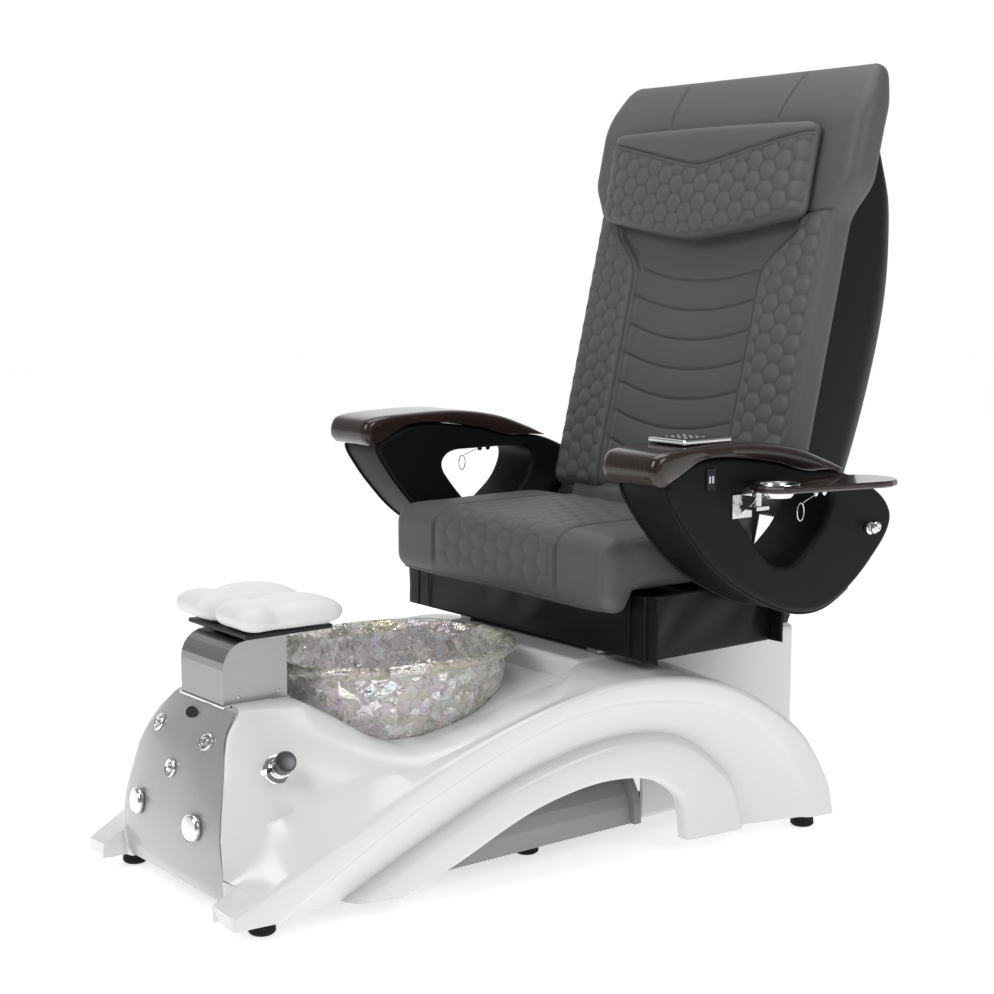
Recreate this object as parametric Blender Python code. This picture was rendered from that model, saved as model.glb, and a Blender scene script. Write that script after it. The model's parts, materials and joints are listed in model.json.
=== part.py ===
"""Pedicure spa chair: massage seat on a moulded base with a glass foot bowl.

Metres, +Z up.  The front of the chair faces -Y.  "Right" in a name is the +X side, which is on the right
for someone who faces the chair.  The origin lies on the floor under the middle of the chair.
"""
import math

import bmesh
import bpy
from mathutils import Matrix, Vector

GAP = 0.0003                       # clearance between pieces that touch
SHELL = 0.007                      # wall of the moulded base pieces

# Base: plan flare and arches
TOE_Y = -0.735                     # front tip of the side arches
ARCH_X_FRONT = 0.250               # outer face of an arch at the toe
ARCH_FLARE = 0.1346                # growth of the half width for each metre towards the back
ARCH_STATIONS = 26
FLOOR_EDGE_Z = 0.027               # underside of the moulding
RIM_EDGE = [(-0.738, 0.027), (-0.741, 0.048), (-0.563, 0.133), (-0.314, 0.257), (-0.057, 0.327),
            (0.172, 0.309), (0.346, 0.211), (0.427, 0.101), (0.448, 0.027)]
STEP_EDGE = [(-0.667, 0.027), (-0.450, 0.160), (-0.230, 0.259), (-0.057, 0.300), (0.120, 0.288),
             (0.246, 0.245), (0.321, 0.183), (0.374, 0.109), (0.403, 0.027)]
GROOVE_EDGE = [(-0.530, 0.027), (-0.370, 0.108), (-0.211, 0.178), (-0.037, 0.218), (0.101, 0.208),
               (0.197, 0.141), (0.227, 0.091), (0.244, 0.027)]
OPENING_EDGE = [(-0.445, 0.027), (-0.347, 0.066), (-0.222, 0.124), (-0.137, 0.151), (-0.048, 0.164),
                (0.040, 0.155), (0.103, 0.119), (0.119, 0.080), (0.126, 0.027)]
TOE_INNER_X = 0.194

# Base: nose, deck, pedestal
DECK = [(-0.640, 0.100, 0.330), (-0.530, 0.112, 0.328), (-0.478, 0.130, 0.297), (-0.425, 0.158, 0.260),
        (-0.382, 0.172, 0.243), (-0.314, 0.178, 0.244), (-0.215, 0.185, 0.264), (-0.148, 0.195, 0.288),
        (-0.080, 0.205, 0.303), (-0.027, 0.212, 0.306)]      # y, half width, height
SEAM = 0.002                       # clearance between the deck's edge and the arches' flanges
NOSE_LEAN = 0.062                  # how far the nose's lower edge stands in front of its upper edge
PEDESTAL = dict(x=0.225, front=-0.025, back=0.537, top=0.350)
PANEL = [(0.330, -0.6475, 0.100), (0.290, -0.676, 0.117), (0.240, -0.693, 0.143), (0.150, -0.712, 0.158),
         (0.090, -0.714, 0.163), (0.050, -0.707, 0.140), (0.034, -0.702, 0.112)]   # z, y, half width

# Controls on the front panel (x, z) and the mixing valve beside the bowl
BUTTONS = [(-0.080, 0.283), (0.080, 0.283), (0.000, 0.226)]
DIALS = [(-0.094, 0.150), (0.094, 0.150)]
BADGE = (0.000, 0.312)
BEZEL_LIFT = 0.0015                # the panel is curved under the flat bezels
VALVE_ORIGIN = (0.1686, -0.6089, 0.2431)
VALVE_FACING = (0.836, -0.180, 0.505)

# Foot bowl
BOWL_Y, BOWL_Z = -0.280, 0.382
BOWL_X, BOWL_LONG = 0.197, 0.236
BOWL_POWER = 2.37
BOWL_SEGMENTS = 32

# Seat and back
SKIRT = dict(x=0.345, front=0.029, back=0.348, bottom=0.359, top=0.476)
SEAT = dict(x=0.325, front=-0.052, back=0.338, bottom=0.4765, lip=0.440, top=0.585)
RAIL_TOP = 0.3585
HINGE_Y, HINGE_Z = 0.395, 0.500
BACK_TILT = math.radians(13.5)
PAD_X, PAD_FRONT, PAD_BACK = 0.335, -0.052, 0.030
PAD_BOTTOM, PAD_TOP = 0.072, 0.955
WING = dict(start=0.655, full=0.735, out=0.035)   # the pad widens beside the head pillow
CHANNEL_X, CHANNEL_DEPTH = 0.180, 0.017
PILLOW = dict(x=0.288, top=0.8255, middle=0.588, corner=0.638, deep=0.050)

# Arms
ARM_INNER, ARM_OUTER = 0.356, 0.482
ARM_PIVOT = (0.442, 0.577)
POD_OUTLINE = [(-0.062, 0.6895), (-0.015, 0.620), (0.050, 0.548), (0.120, 0.499), (0.205, 0.458),
               (0.270, 0.438), (0.335, 0.439), (0.392, 0.466), (0.440, 0.500), (0.501, 0.560),
               (0.513, 0.600), (0.480, 0.640), (0.372, 0.6862), (0.270, 0.6935), (0.199, 0.7125),
               (0.095, 0.7275), (0.023, 0.7275), (-0.020, 0.7095)]
WINDOW_OUTLINE = [(0.128, 0.668), (0.102, 0.640), (0.135, 0.596), (0.187, 0.541), (0.220, 0.529),
                  (0.253, 0.532), (0.326, 0.589), (0.350, 0.640), (0.335, 0.668)]
CAP_TOP = [(0.372, 0.690), (0.330, 0.709), (0.250, 0.735), (0.140, 0.750), (0.000, 0.749), (-0.066, 0.743),
           (-0.084, 0.728), (-0.086, 0.704), (-0.074, 0.690)]
CAP_UNDER = [(-0.062, 0.6898), (-0.020, 0.7098), (0.023, 0.7278), (0.095, 0.7278), (0.199, 0.7128),
             (0.270, 0.6938)]

# Trays on the arms
TRAY_PIVOT = (0.522, 0.115)
TRAY_NEAR = (0.530, 0.152, 0.046)  # x, y, radius of the end that carries the dish
TRAY_FAR = (0.562, 0.337, 0.056)
TRAY_Z = (0.6715, 0.6825)
DISH_RADIUS = 0.030

# Footrest
HOUSING_X = 0.071
FOOTREST_PIVOT = (-0.585, 0.432)
PIVOT_RADIUS = 0.012
FOOT_PAD = dict(x=0.131, front=-0.644, back=-0.437, bottom=0.4525, crown=0.030, swell=0.022)
FOOT_PLATE = dict(x=0.098, front=-0.622, back=-0.455, bottom=0.4443, top=0.4520)

FEET = {"front": (0.2180, -0.672), "middle": (0.1700, -0.096), "rear": (0.3650, 0.415)}


def clear_scene():
    for item in list(bpy.data.objects):
        bpy.data.objects.remove(item)


def finish_material(name, colour, roughness, metallic=0.0, alpha=1.0):
    material = bpy.data.materials.get(name) or bpy.data.materials.new(name)
    material.use_nodes = True
    shader = material.node_tree.nodes["Principled BSDF"]
    shader.inputs["Base Color"].default_value = (*colour, 1.0)
    shader.inputs["Roughness"].default_value = roughness
    shader.inputs["Metallic"].default_value = metallic
    shader.inputs["Alpha"].default_value = alpha
    return material


FINISHES = {
    "gelcoat": ((0.86, 0.86, 0.85), 0.22, 0.0), "panel_grey": ((0.36, 0.34, 0.32), 0.30, 0.35),
    "chrome": ((0.80, 0.80, 0.82), 0.08, 1.0), "steel": ((0.55, 0.55, 0.56), 0.32, 1.0),
    "graphite": ((0.10, 0.10, 0.11), 0.35, 0.6), "rubber": ((0.015, 0.015, 0.015), 0.7, 0.0),
    "glass": ((0.80, 0.82, 0.76), 0.05, 0.0), "grey_leather": ((0.098, 0.102, 0.100), 0.48, 0.0),
    "black_leather": ((0.012, 0.012, 0.013), 0.42, 0.0), "black_vinyl": ((0.010, 0.010, 0.011), 0.38, 0.0),
    "black_shell": ((0.014, 0.014, 0.015), 0.45, 0.0), "espresso_wood": ((0.045, 0.022, 0.015), 0.18, 0.0),
    "white_pad": ((0.83, 0.83, 0.81), 0.40, 0.0), "black_paint": ((0.03, 0.03, 0.03), 0.5, 0.2),
    "dark_plastic": ((0.02, 0.02, 0.022), 0.3, 0.0), "pump_grey": ((0.33, 0.33, 0.33), 0.5, 0.0),
}


def dress(target, finish):
    colour, roughness, metallic = FINISHES[finish]
    target.data.materials.append(finish_material(finish, colour, roughness, metallic))


def solid(name, mesh, finish, smooth=None):
    """Turn a closed bmesh into a named object with outward faces."""
    bmesh.ops.remove_doubles(mesh, verts=mesh.verts, dist=1e-6)
    bmesh.ops.recalc_face_normals(mesh, faces=mesh.faces)
    data = bpy.data.meshes.new(name)
    mesh.to_mesh(data)
    mesh.free()
    if smooth is not None:
        data.shade_smooth()
        data.set_sharp_from_angle(angle=math.radians(smooth))
    result = bpy.data.objects.new(name, data)
    bpy.context.scene.collection.objects.link(result)
    dress(result, finish)
    return result


def loft(name, rings, finish, smooth=40, closed=False):
    """Skin through equal closed rings; the two ends are capped unless the rings close on themselves."""
    mesh = bmesh.new()
    rows = [[mesh.verts.new(point) for point in ring] for ring in rings]
    count = len(rings[0])
    pairs = list(zip(rows, rows[1:])) + ([(rows[-1], rows[0])] if closed else [])
    for lower, upper in pairs:
        for i in range(count):
            j = (i + 1) % count
            mesh.faces.new((lower[i], lower[j], upper[j], upper[i]))
    if not closed:
        mesh.faces.new(rows[0])
        mesh.faces.new(rows[-1])
    return solid(name, mesh, finish, smooth)


def prism_x(name, outline, low, high, finish, smooth=35):
    """Extrude a (y, z) outline along X."""
    return loft(name, [[(x, y, z) for y, z in outline] for x in (low, high)], finish, smooth)


def prism_z(name, outline, low, high, finish, smooth=35):
    """Extrude an (x, y) outline along Z."""
    return loft(name, [[(x, y, z) for x, y in outline] for z in (low, high)], finish, smooth)


def box(name, low, high, finish, bevel=0.0, segments=2):
    corners = [(low[0], low[1]), (high[0], low[1]), (high[0], high[1]), (low[0], high[1])]
    result = prism_z(name, corners, low[2], high[2], finish, None)
    if bevel:
        round_edges(result, bevel, segments)
    return result


def round_edges(target, width, segments=2, angle=40):
    bevel = target.modifiers.new("round_edges", "BEVEL")
    bevel.width = width
    bevel.segments = segments
    bevel.limit_method = "ANGLE"
    bevel.angle_limit = math.radians(angle)
    bevel.use_clamp_overlap = True


def cutter(shape):
    shape.hide_render = True
    shape.display_type = "WIRE"
    return shape


def cut(target, shape, name="cut"):
    boolean = target.modifiers.new(name, "BOOLEAN")
    boolean.operation = "DIFFERENCE"
    boolean.object = cutter(shape)


def turned(name, profile, finish, segments=16, smooth=40):
    """Turn an open (radius, height) profile from axis to axis about +Z, both ends on the axis."""
    rings = []
    for radius, height in profile:
        rings.append([(radius * math.cos(a), radius * math.sin(a), height)
                      for a in (2 * math.pi * i / segments for i in range(segments))])
    return loft(name, rings, finish, smooth)


def place(target, origin, direction=(0, 0, 1)):
    """Stand a piece made about +Z at origin, with +Z turned to direction."""
    turn = Vector((0, 0, 1)).rotation_difference(Vector(direction).normalized()).to_matrix().to_4x4()
    target.matrix_world = Matrix.Translation(origin) @ turn
    return target


def spline(points, count):
    """Evenly spaced points on a smooth curve through the given ones."""
    points = [Vector(p) for p in points]
    padded = [2 * points[0] - points[1], *points, 2 * points[-1] - points[-2]]
    fine = []
    for p0, p1, p2, p3 in zip(padded, padded[1:], padded[2:], padded[3:]):
        for step in range(16):
            t = step / 16
            fine.append(0.5 * (2 * p1 + (p2 - p0) * t + (2 * p0 - 5 * p1 + 4 * p2 - p3) * t * t
                               + (3 * p1 - p0 - 3 * p2 + p3) * t ** 3))
    fine.append(points[-1])
    lengths = [0.0]
    for a, b in zip(fine, fine[1:]):
        lengths.append(lengths[-1] + (b - a).length)
    result = []
    index = 0
    for step in range(count):
        target = lengths[-1] * step / (count - 1)
        while index < len(fine) - 2 and lengths[index + 1] < target:
            index += 1
        span = lengths[index + 1] - lengths[index]
        result.append(fine[index].lerp(fine[index + 1], (target - lengths[index]) / span if span else 0.0))
    return result


def along(table, y):
    """Linear reading of a table whose first column is y."""
    if y <= table[0][0]:
        return table[0][1:]
    for low, high in zip(table, table[1:]):
        if y <= high[0]:
            t = (y - low[0]) / (high[0] - low[0])
            return [a + (b - a) * t for a, b in zip(low[1:], high[1:])]
    return table[-1][1:]


def arch_x(y):
    return ARCH_X_FRONT + ARCH_FLARE * (y - TOE_Y)


def flange_point(edge_y, edge_z):
    """Inner edge of an arch's upper flange beside the point of the rim edge at this y and z."""
    edge = Vector((arch_x(edge_y), edge_y, edge_z))
    if edge_y > PEDESTAL["front"]:
        return Vector((PEDESTAL["x"] + GAP, edge_y, edge_z + 0.010))
    half, height = along(DECK, edge_y)
    inner = edge.lerp(Vector((half, edge_y, height)), 0.36) - Vector((0, 0, 0.010))
    if edge_y > -0.120:
        t = (edge_y + 0.120) / (PEDESTAL["front"] + 0.120)
        inner = inner.lerp(Vector((PEDESTAL["x"] + GAP, edge_y, edge_z + 0.010)), t)
    if edge_y < -0.690:
        t = min(1.0, (-0.690 - edge_y) / 0.045)
        inner = inner.lerp(Vector((TOE_INNER_X, edge_y, edge_z + 0.003)), t)
    return inner


def make_arch(name, side):
    """One side moulding: flange, rim band, recessed band, groove and the lip round the opening."""
    rim, step, groove, mouth = (spline(points, ARCH_STATIONS)
                                for points in (RIM_EDGE, STEP_EDGE, GROOVE_EDGE, OPENING_EDGE))
    rings = []
    for r, s, g, m in zip(rim, step, groove, mouth):
        inner = flange_point(r.x, r.y)
        ring = [inner, Vector((arch_x(r.x), r.x, r.y))]
        near_step, near_groove = s.lerp(g, 0.10), g.lerp(s, 0.10)
        outside = [(s, 0.003), (near_step, 0.015), (near_groove, 0.034), (g, 0.012), (m, 0.008)]
        inside = [(m, 0.028), (near_groove, 0.052), (near_step, 0.036)]
        ring += [Vector((arch_x(p.x) - depth, p.x, p.y)) for p, depth in outside + inside]
        deep = r.lerp(s, 0.45)
        ring.append(Vector((arch_x(deep.x) - 0.026, deep.x, min(deep.y, r.y - 0.010) if r.y > 0.05 else deep.y)))
        below = inner.lerp(Vector((arch_x(r.x) - 0.026, deep.x, deep.y)), 0.12)
        ring.append(Vector((below.x, below.y, min(below.z, inner.z - SHELL) if inner.z > 0.06 else below.z)))
        rings.append([(side * p.x, p.y, p.z) for p in ring])
    return loft(name, rings, "gelcoat", 30)


def make_deck():
    """Nose and deck in one shell, from the front panel to the pedestal, open underneath."""
    rings = []
    steps = 22
    first, last = DECK[0][0], DECK[-1][0]
    for i in range(steps + 1):
        t = i / steps
        y = first + (last - first) * t
        lean = NOSE_LEAN * max(0.0, 1 - t * 3.0)
        half, height = along(DECK, y)
        low_y = y - lean
        rim_y = max(low_y, RIM_EDGE[1][0])
        rim_z = rim_height(rim_y)
        inner = flange_point(rim_y, rim_z)
        seam = SEAM * (1 + 3 * max(0.0, min(1.0, (y + 0.19) / 0.05)))
        foot = Vector((inner.x - seam, low_y, inner.z + SEAM * 0.5))
        if low_y < -0.690:
            foot.x = min(foot.x, 0.170)
        middle = foot.lerp(Vector((half, y, height)), 0.5) + Vector((0.004, 0, 0.003))
        side = [(foot.x, foot.y, foot.z), tuple(middle), (half, y, height), (half * 0.55, y, height + 0.001)]
        inside = offset_inward(side, SHELL)
        ring = side + [(-x, yy, z) for x, yy, z in reversed(side)]
        ring += [(-x, yy, z) for x, yy, z in inside] + list(reversed(inside))
        rings.append(ring)
    deck = loft("deck_shell", rings, "gelcoat", 30)
    cut(deck, bowl_body("deck_bowl_cutter", 0.0006, cutter_only=True))
    return deck


def offset_inward(side, depth):
    """The section line (x, y, z) from the edge to the middle, moved down and in by depth in its (x, z) plane."""
    result = []
    for k, (x, y, z) in enumerate(side):
        before, after = side[max(k - 1, 0)], side[min(k + 1, len(side) - 1)]
        run = Vector((after[0] - before[0], after[2] - before[2])).normalized()
        normal = Vector((run.y, -run.x))
        if normal.y > 0:
            normal = -normal
        result.append((x + normal.x * depth, y, z + normal.y * depth))
    return result


def rim_height(y):
    """Height of the arch's rim edge at this y on its way up from the toe."""
    points = spline(RIM_EDGE, 120)
    for a, b in zip(points[3:], points[4:]):
        if a.x <= y <= b.x:
            return a.y + (b.y - a.y) * (y - a.x) / (b.x - a.x)
    return points[3].y


def panel_sheet(depth):
    """Rows of points on the bulging front panel, set back by depth."""
    rows = []
    columns = [-1, -0.94, -0.7, -0.4, 0, 0.4, 0.7, 0.94, 1]
    for z, y, half in PANEL:
        row = []
        for u in columns:
            bulge = 0.014 * (1 - abs(u) ** 2.4) * min(1.0, (z - 0.034) / 0.03, (0.345 - z) / 0.05)
            row.append(Vector((u * (half - 0.0016), y - bulge + depth, z)))
        rows.append(row)
    return rows


def make_front_panel():
    front, back = panel_sheet(0.0), panel_sheet(0.006)
    rings = []
    for outer, inner in zip(front, back):
        rings.append([tuple(p) for p in outer] + [tuple(p) for p in reversed(inner)])
    panel = loft("front_panel", rings, "panel_grey", 30)
    for index, (x, z) in enumerate(BUTTONS):
        point, normal = on_panel(x, z)
        hole = place(turned(f"button_hole_{index}", [(0.0085, -0.02), (0.0085, 0.02)], "steel", 14), point, normal)
        cut(panel, hole, f"button_{index}")
    return panel


def on_panel(x, z):
    """Point and outward normal of the front panel's face."""
    rows = panel_sheet(0.0)
    heights = [row[0].z for row in rows]

    def surface(px, pz):
        for k in range(len(rows) - 1):
            if heights[k] >= pz >= heights[k + 1]:
                break
        t = (heights[k] - pz) / (heights[k] - heights[k + 1])
        line = [a.lerp(b, t) for a, b in zip(rows[k], rows[k + 1])]
        for a, b in zip(line, line[1:]):
            if a.x <= px <= b.x:
                return a.lerp(b, (px - a.x) / (b.x - a.x))
        return line[-1]

    step = 0.012
    dx = surface(x + step, z) - surface(x - step, z)
    dz = surface(x, z + step) - surface(x, z - step)
    return surface(x, z), dx.cross(dz).normalized()


def make_front_controls():
    for index, (x, z) in enumerate(BUTTONS):
        point, normal = on_panel(x, z)
        bezel = ring_piece(f"button_bezel_{index + 1}", 0.0155, 0.0100, 0.0026, 0.0052, "chrome")
        place(bezel, point + normal * BEZEL_LIFT, normal)
        button = turned(f"push_button_{index + 1}",
                        [(0.0082, -0.012), (0.0082, 0.0030), (0.0066, 0.0046), (0.0030, 0.0050)], "chrome", 14)
        place(button, point + normal * 0.0004, normal)
    for index, (x, z) in enumerate(DIALS):
        point, normal = on_panel(x, z)
        dial = turned("air_dial_" + ("left", "right")[index],
                      [(0.0205, 0.0), (0.0225, 0.002), (0.0225, 0.0065), (0.0195, 0.0100), (0.0120, 0.0125),
                       (0.0040, 0.0135)], "chrome", 20)
        place(dial, point + normal * 0.0032, normal)
    point, normal = on_panel(*BADGE)
    badge = turned("badge", [(0.012, 0.0), (0.012, 0.0022), (0.0105, 0.0032)], "dark_plastic", 18)
    badge.data.transform(Matrix.Diagonal((1.55, 0.85, 1.0, 1.0)))
    place(badge, point + normal * 0.0022, normal)


def ring_piece(name, outer, inner, thickness, height, finish, segments=20):
    """A flat ring about +Z with a raised, rounded outer edge."""
    profile = [(inner, 0.0), (outer, 0.0), (outer - thickness * 0.2, height), (outer - thickness, height),
               (inner, height * 0.55)]
    rings = []
    for i in range(segments):
        a = 2 * math.pi * i / segments
        rings.append([(r * math.cos(a), r * math.sin(a), h) for r, h in profile])
    return loft(name, rings, finish, 40, closed=True)


def make_pedestal():
    p = PEDESTAL
    pedestal = box("pedestal", (-p["x"], p["front"], FLOOR_EDGE_Z), (p["x"], p["back"], p["top"]), "gelcoat")
    round_edges(pedestal, 0.012, 3, 60)
    hollow = box("pedestal_hollow", (-p["x"] + SHELL, p["front"] + SHELL, -0.02),
                 (p["x"] - SHELL, p["back"] - SHELL, p["top"] - SHELL), "gelcoat")
    tunnel = box("pedestal_tunnel", (-0.30, p["front"] - 0.02, -0.02), (0.30, 0.135, 0.185), "gelcoat")
    cut(pedestal, hollow, "hollow")
    cut(pedestal, tunnel, "tunnel")


def bowl_ring(half_x, half_y, z, segments=BOWL_SEGMENTS):
    ring = []
    for i in range(segments):
        a = 2 * math.pi * i / segments
        c, s = math.cos(a), math.sin(a)
        x = half_x * math.copysign(abs(c) ** (2 / BOWL_POWER), c)
        y = half_y * math.copysign(abs(s) ** (2 / BOWL_POWER), s)
        ring.append((x, BOWL_Y + y, z))
    return ring


def bowl_wall(grow):
    """Half sizes and height down the bowl's outside, from under the rim to the foot."""
    wall = []
    for i in range(8):
        t = i / 7
        shrink = 0.020 + 0.060 * t ** 2.2
        wall.append((BOWL_X - shrink + grow, BOWL_LONG - shrink * 1.05 + grow,
                     BOWL_Z - 0.022 - (0.180 + grow) * t ** 0.9))
    return wall


def bowl_body(name, grow, cutter_only=False):
    rings = [bowl_ring(*size) for size in reversed(bowl_wall(grow))]
    if cutter_only:
        rings.append(bowl_ring(BOWL_X - 0.020 + grow, BOWL_LONG - 0.021 + grow, BOWL_Z + 0.02))
        return loft(name, rings, "glass", 40)
    wall = 0.008
    rim = [(BOWL_X - 0.006, BOWL_LONG - 0.006, BOWL_Z - 0.020), (BOWL_X, BOWL_LONG, BOWL_Z - 0.014),
           (BOWL_X, BOWL_LONG, BOWL_Z - 0.005), (BOWL_X - 0.007, BOWL_LONG - 0.007, BOWL_Z),
           (BOWL_X - 0.019, BOWL_LONG - 0.019, BOWL_Z - 0.002),
           (BOWL_X - 0.026, BOWL_LONG - 0.026, BOWL_Z - 0.010)]
    rings += [bowl_ring(*size) for size in rim]
    for half_x, half_y, z in bowl_wall(0.0)[1:]:
        rings.append(bowl_ring(half_x - wall, half_y - wall, max(z, BOWL_Z - 0.190)))
    return loft(name, rings, "glass", 40)


def make_bowl():
    bowl = bowl_body("foot_bowl", 0.0)
    hole = place(turned("drain_hole", [(0.0163, -0.03), (0.0163, 0.04)], "glass"), (0, BOWL_Y, 0.186))
    cut(bowl, hole, "drain")
    plug = turned("drain_plug", [(0.0155, -0.0085), (0.0155, 0.0065), (0.0215, 0.0075), (0.0215, 0.0100),
                                 (0.0160, 0.0125), (0.0050, 0.0135)], "chrome")
    place(plug, (0, BOWL_Y, 0.1860))


def make_pump():
    """Grey pump cover seen through the arches, with a motor and its impeller under it."""
    count = 18
    rings = []
    for y, grow in ((-0.330, 0.0), (0.088, 0.0), (0.0885, 0.010), (0.104, 0.010), (0.1045, 0.0), (0.110, 0.0)):
        outer, inner = [], []
        for i in range(count + 1):
            a = math.pi * i / count
            c, s = math.cos(a), math.sin(a)
            shape = math.copysign(abs(c) ** 0.62, c)
            outer.append(((0.246 + grow) * shape, y, 0.036 + (0.122 + grow) * s ** 0.75))
            inner.append((0.240 * shape, y, 0.036 + 0.116 * s ** 0.75))
        rings.append(outer + inner[::-1])
    loft("pump_cover", rings, "pump_grey", 30)
    motor = turned("pump_motor", [(0.030, 0.0), (0.042, 0.006), (0.042, 0.120), (0.034, 0.128), (0.012, 0.130),
                                  (0.012, 0.150)], "graphite", 24)
    place(motor, (0, 0.060, 0.1000), (0, -1, 0))
    blades = 6
    rings = []
    for z in (0.0, 0.012):
        ring = []
        for i in range(blades * 4):
            a = 2 * math.pi * i / (blades * 4)
            radius = (0.030, 0.034, 0.031, 0.016)[i % 4]
            ring.append((radius * math.cos(a), radius * math.sin(a), z))
        rings.append(ring)
    place(loft("pump_impeller", rings, "dark_plastic", 30), (0, -0.0905, 0.1000), (0, -1, 0))


def make_frame_and_feet():
    rail, width = 0.170, 0.015
    outline = [(-rail - width, -0.620), (rail + width, -0.620), (rail + width, 0.430), (-rail - width, 0.430)]
    frame = prism_z("base_frame", outline, FLOOR_EDGE_Z, 0.0560, "black_paint", None)
    bays = [(-0.590, -0.200), (-0.170, 0.060), (0.090, 0.400)]
    for index, (front, back) in enumerate(bays):
        bay = box(f"frame_bay_{index}", (-rail + width, front, 0.0), (rail - width, back, 0.09), "black_paint")
        cut(frame, bay, f"bay_{index}")
    profile = [(0.0180, 0.0), (0.0225, 0.004), (0.0210, 0.020), (0.0110, 0.0205),
               (0.0110, FLOOR_EDGE_Z - GAP)]
    for place_name, (x, y) in FEET.items():
        for side_name, side in (("left", -1), ("right", 1)):
            place(turned(f"foot_{place_name}_{side_name}", profile, "rubber", 12), (side * x, y, 0))


def make_valve():
    """Mixing valve on the slanted right side of the nose: rose, lever collar and turning knob."""
    origin, facing = Vector(VALVE_ORIGIN), Vector(VALVE_FACING).normalized()
    rose = turned("valve_rose", [(0.0240, 0.0), (0.0255, 0.0015), (0.0235, 0.0050), (0.0160, 0.0070),
                                 (0.0120, 0.0090), (0.0120, 0.0110)], "chrome", 20)
    place(rose, origin, facing)
    collar = turned("collar", [(0.0150, 0.0), (0.0160, 0.0015), (0.0160, 0.0105), (0.0150, 0.0120)],
                    "chrome")
    bar = box("bar", (-0.0035, -0.036, 0.003), (0.0035, -0.008, 0.0095), "chrome")
    lever = union("valve_lever", collar, bar)
    place(lever, origin + facing * 0.0113, facing)
    knob = turned("valve_knob", [(0.0160, 0.0), (0.0175, 0.0015), (0.0175, 0.0235), (0.0160, 0.0260),
                                 (0.0060, 0.0270)], "graphite", 20)
    place(knob, origin + facing * 0.0236, facing)


def union(name, first, second):
    """Join two overlapping closed shapes into one body."""
    join = first.modifiers.new("join", "BOOLEAN")
    join.operation = "UNION"
    join.object = second
    bpy.context.view_layer.update()
    evaluated = first.evaluated_get(bpy.context.evaluated_depsgraph_get())
    data = bpy.data.meshes.new_from_object(evaluated)
    data.name = name
    finish = first.data.materials[0]
    for item in (first, second):
        bpy.data.objects.remove(item)
    result = bpy.data.objects.new(name, data)
    bpy.context.scene.collection.objects.link(result)
    data.materials.clear()
    data.materials.append(finish)
    return result


def arc(centre, radius, start, end, steps):
    """Points on an arc in the (y, z) plane, angles in degrees from +Y towards +Z."""
    result = []
    for i in range(steps + 1):
        a = math.radians(start + (end - start) * i / steps)
        result.append((centre[0] + radius * math.cos(a), centre[1] + radius * math.sin(a)))
    return result


def housing_side(inset):
    low = 0.3312 if inset == 0 else 0.30
    front, back, top, radius = -0.651 + inset, -0.530 - inset, 0.4380 - inset, 0.045
    return [(back, low), (back, top), *arc((front + radius, top - radius), radius, 90, 180, 6), (front, low)]


def make_footrest():
    housing = prism_x("footrest_housing", housing_side(0.0), -HOUSING_X, HOUSING_X, "steel")
    cut(housing, prism_x("housing_hollow", housing_side(0.0025), -HOUSING_X + 0.0025, HOUSING_X - 0.0025,
                         "steel"), "hollow")
    cut(housing, box("housing_slot", (-0.0325, -0.6125, 0.42), (0.0325, -0.5575, 0.46), "steel"), "slot")
    y, z = FOOTREST_PIVOT
    shoulder = z - 0.012
    outline = [(y - 0.027, 0.3330), (y + 0.027, 0.3330), (y + 0.027, shoulder), (y + PIVOT_RADIUS, shoulder),
               *arc(FOOTREST_PIVOT, PIVOT_RADIUS, 0, 180, 12), (y - PIVOT_RADIUS, shoulder),
               (y - 0.027, shoulder)]
    prism_x("footrest_column", outline, -0.0320, 0.0320, "steel")
    p = FOOT_PLATE
    plate = box("footrest_plate", (-p["x"], p["front"], p["bottom"]), (p["x"], p["back"], p["top"]),
                "dark_plastic")
    round_edges(plate, 0.002, 1, 40)
    p = FOOT_PAD
    rings = []
    for i in range(15):
        t = i / 14
        y = p["front"] + (p["back"] - p["front"]) * t
        lift = (1 - (2 * t - 1) ** 6) ** 0.5 if 0 < t < 1 else 0.35
        swell = p["swell"] * math.cos(math.pi * min(1, t * 1.25)) ** 2
        crown = p["bottom"] + (p["crown"] + swell) * max(lift, 0.35)
        half = p["x"] * (0.90 + 0.10 * lift)
        top = []
        for k in range(17):
            u = 1 - 2 * k / 16
            lobe = abs(math.sin(math.pi * u)) ** 0.6 if abs(u) < 0.999 else 0.0
            top.append((u * half, y, p["bottom"] + 0.010 + (crown - p["bottom"] - 0.010) * (0.45 + 0.55 * lobe)))
        edge = [(-half + 0.012, y, p["bottom"]), (half - 0.012, y, p["bottom"])]
        rings.append(top + edge)
    loft("footrest_pad", rings, "white_pad", 50)


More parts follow.
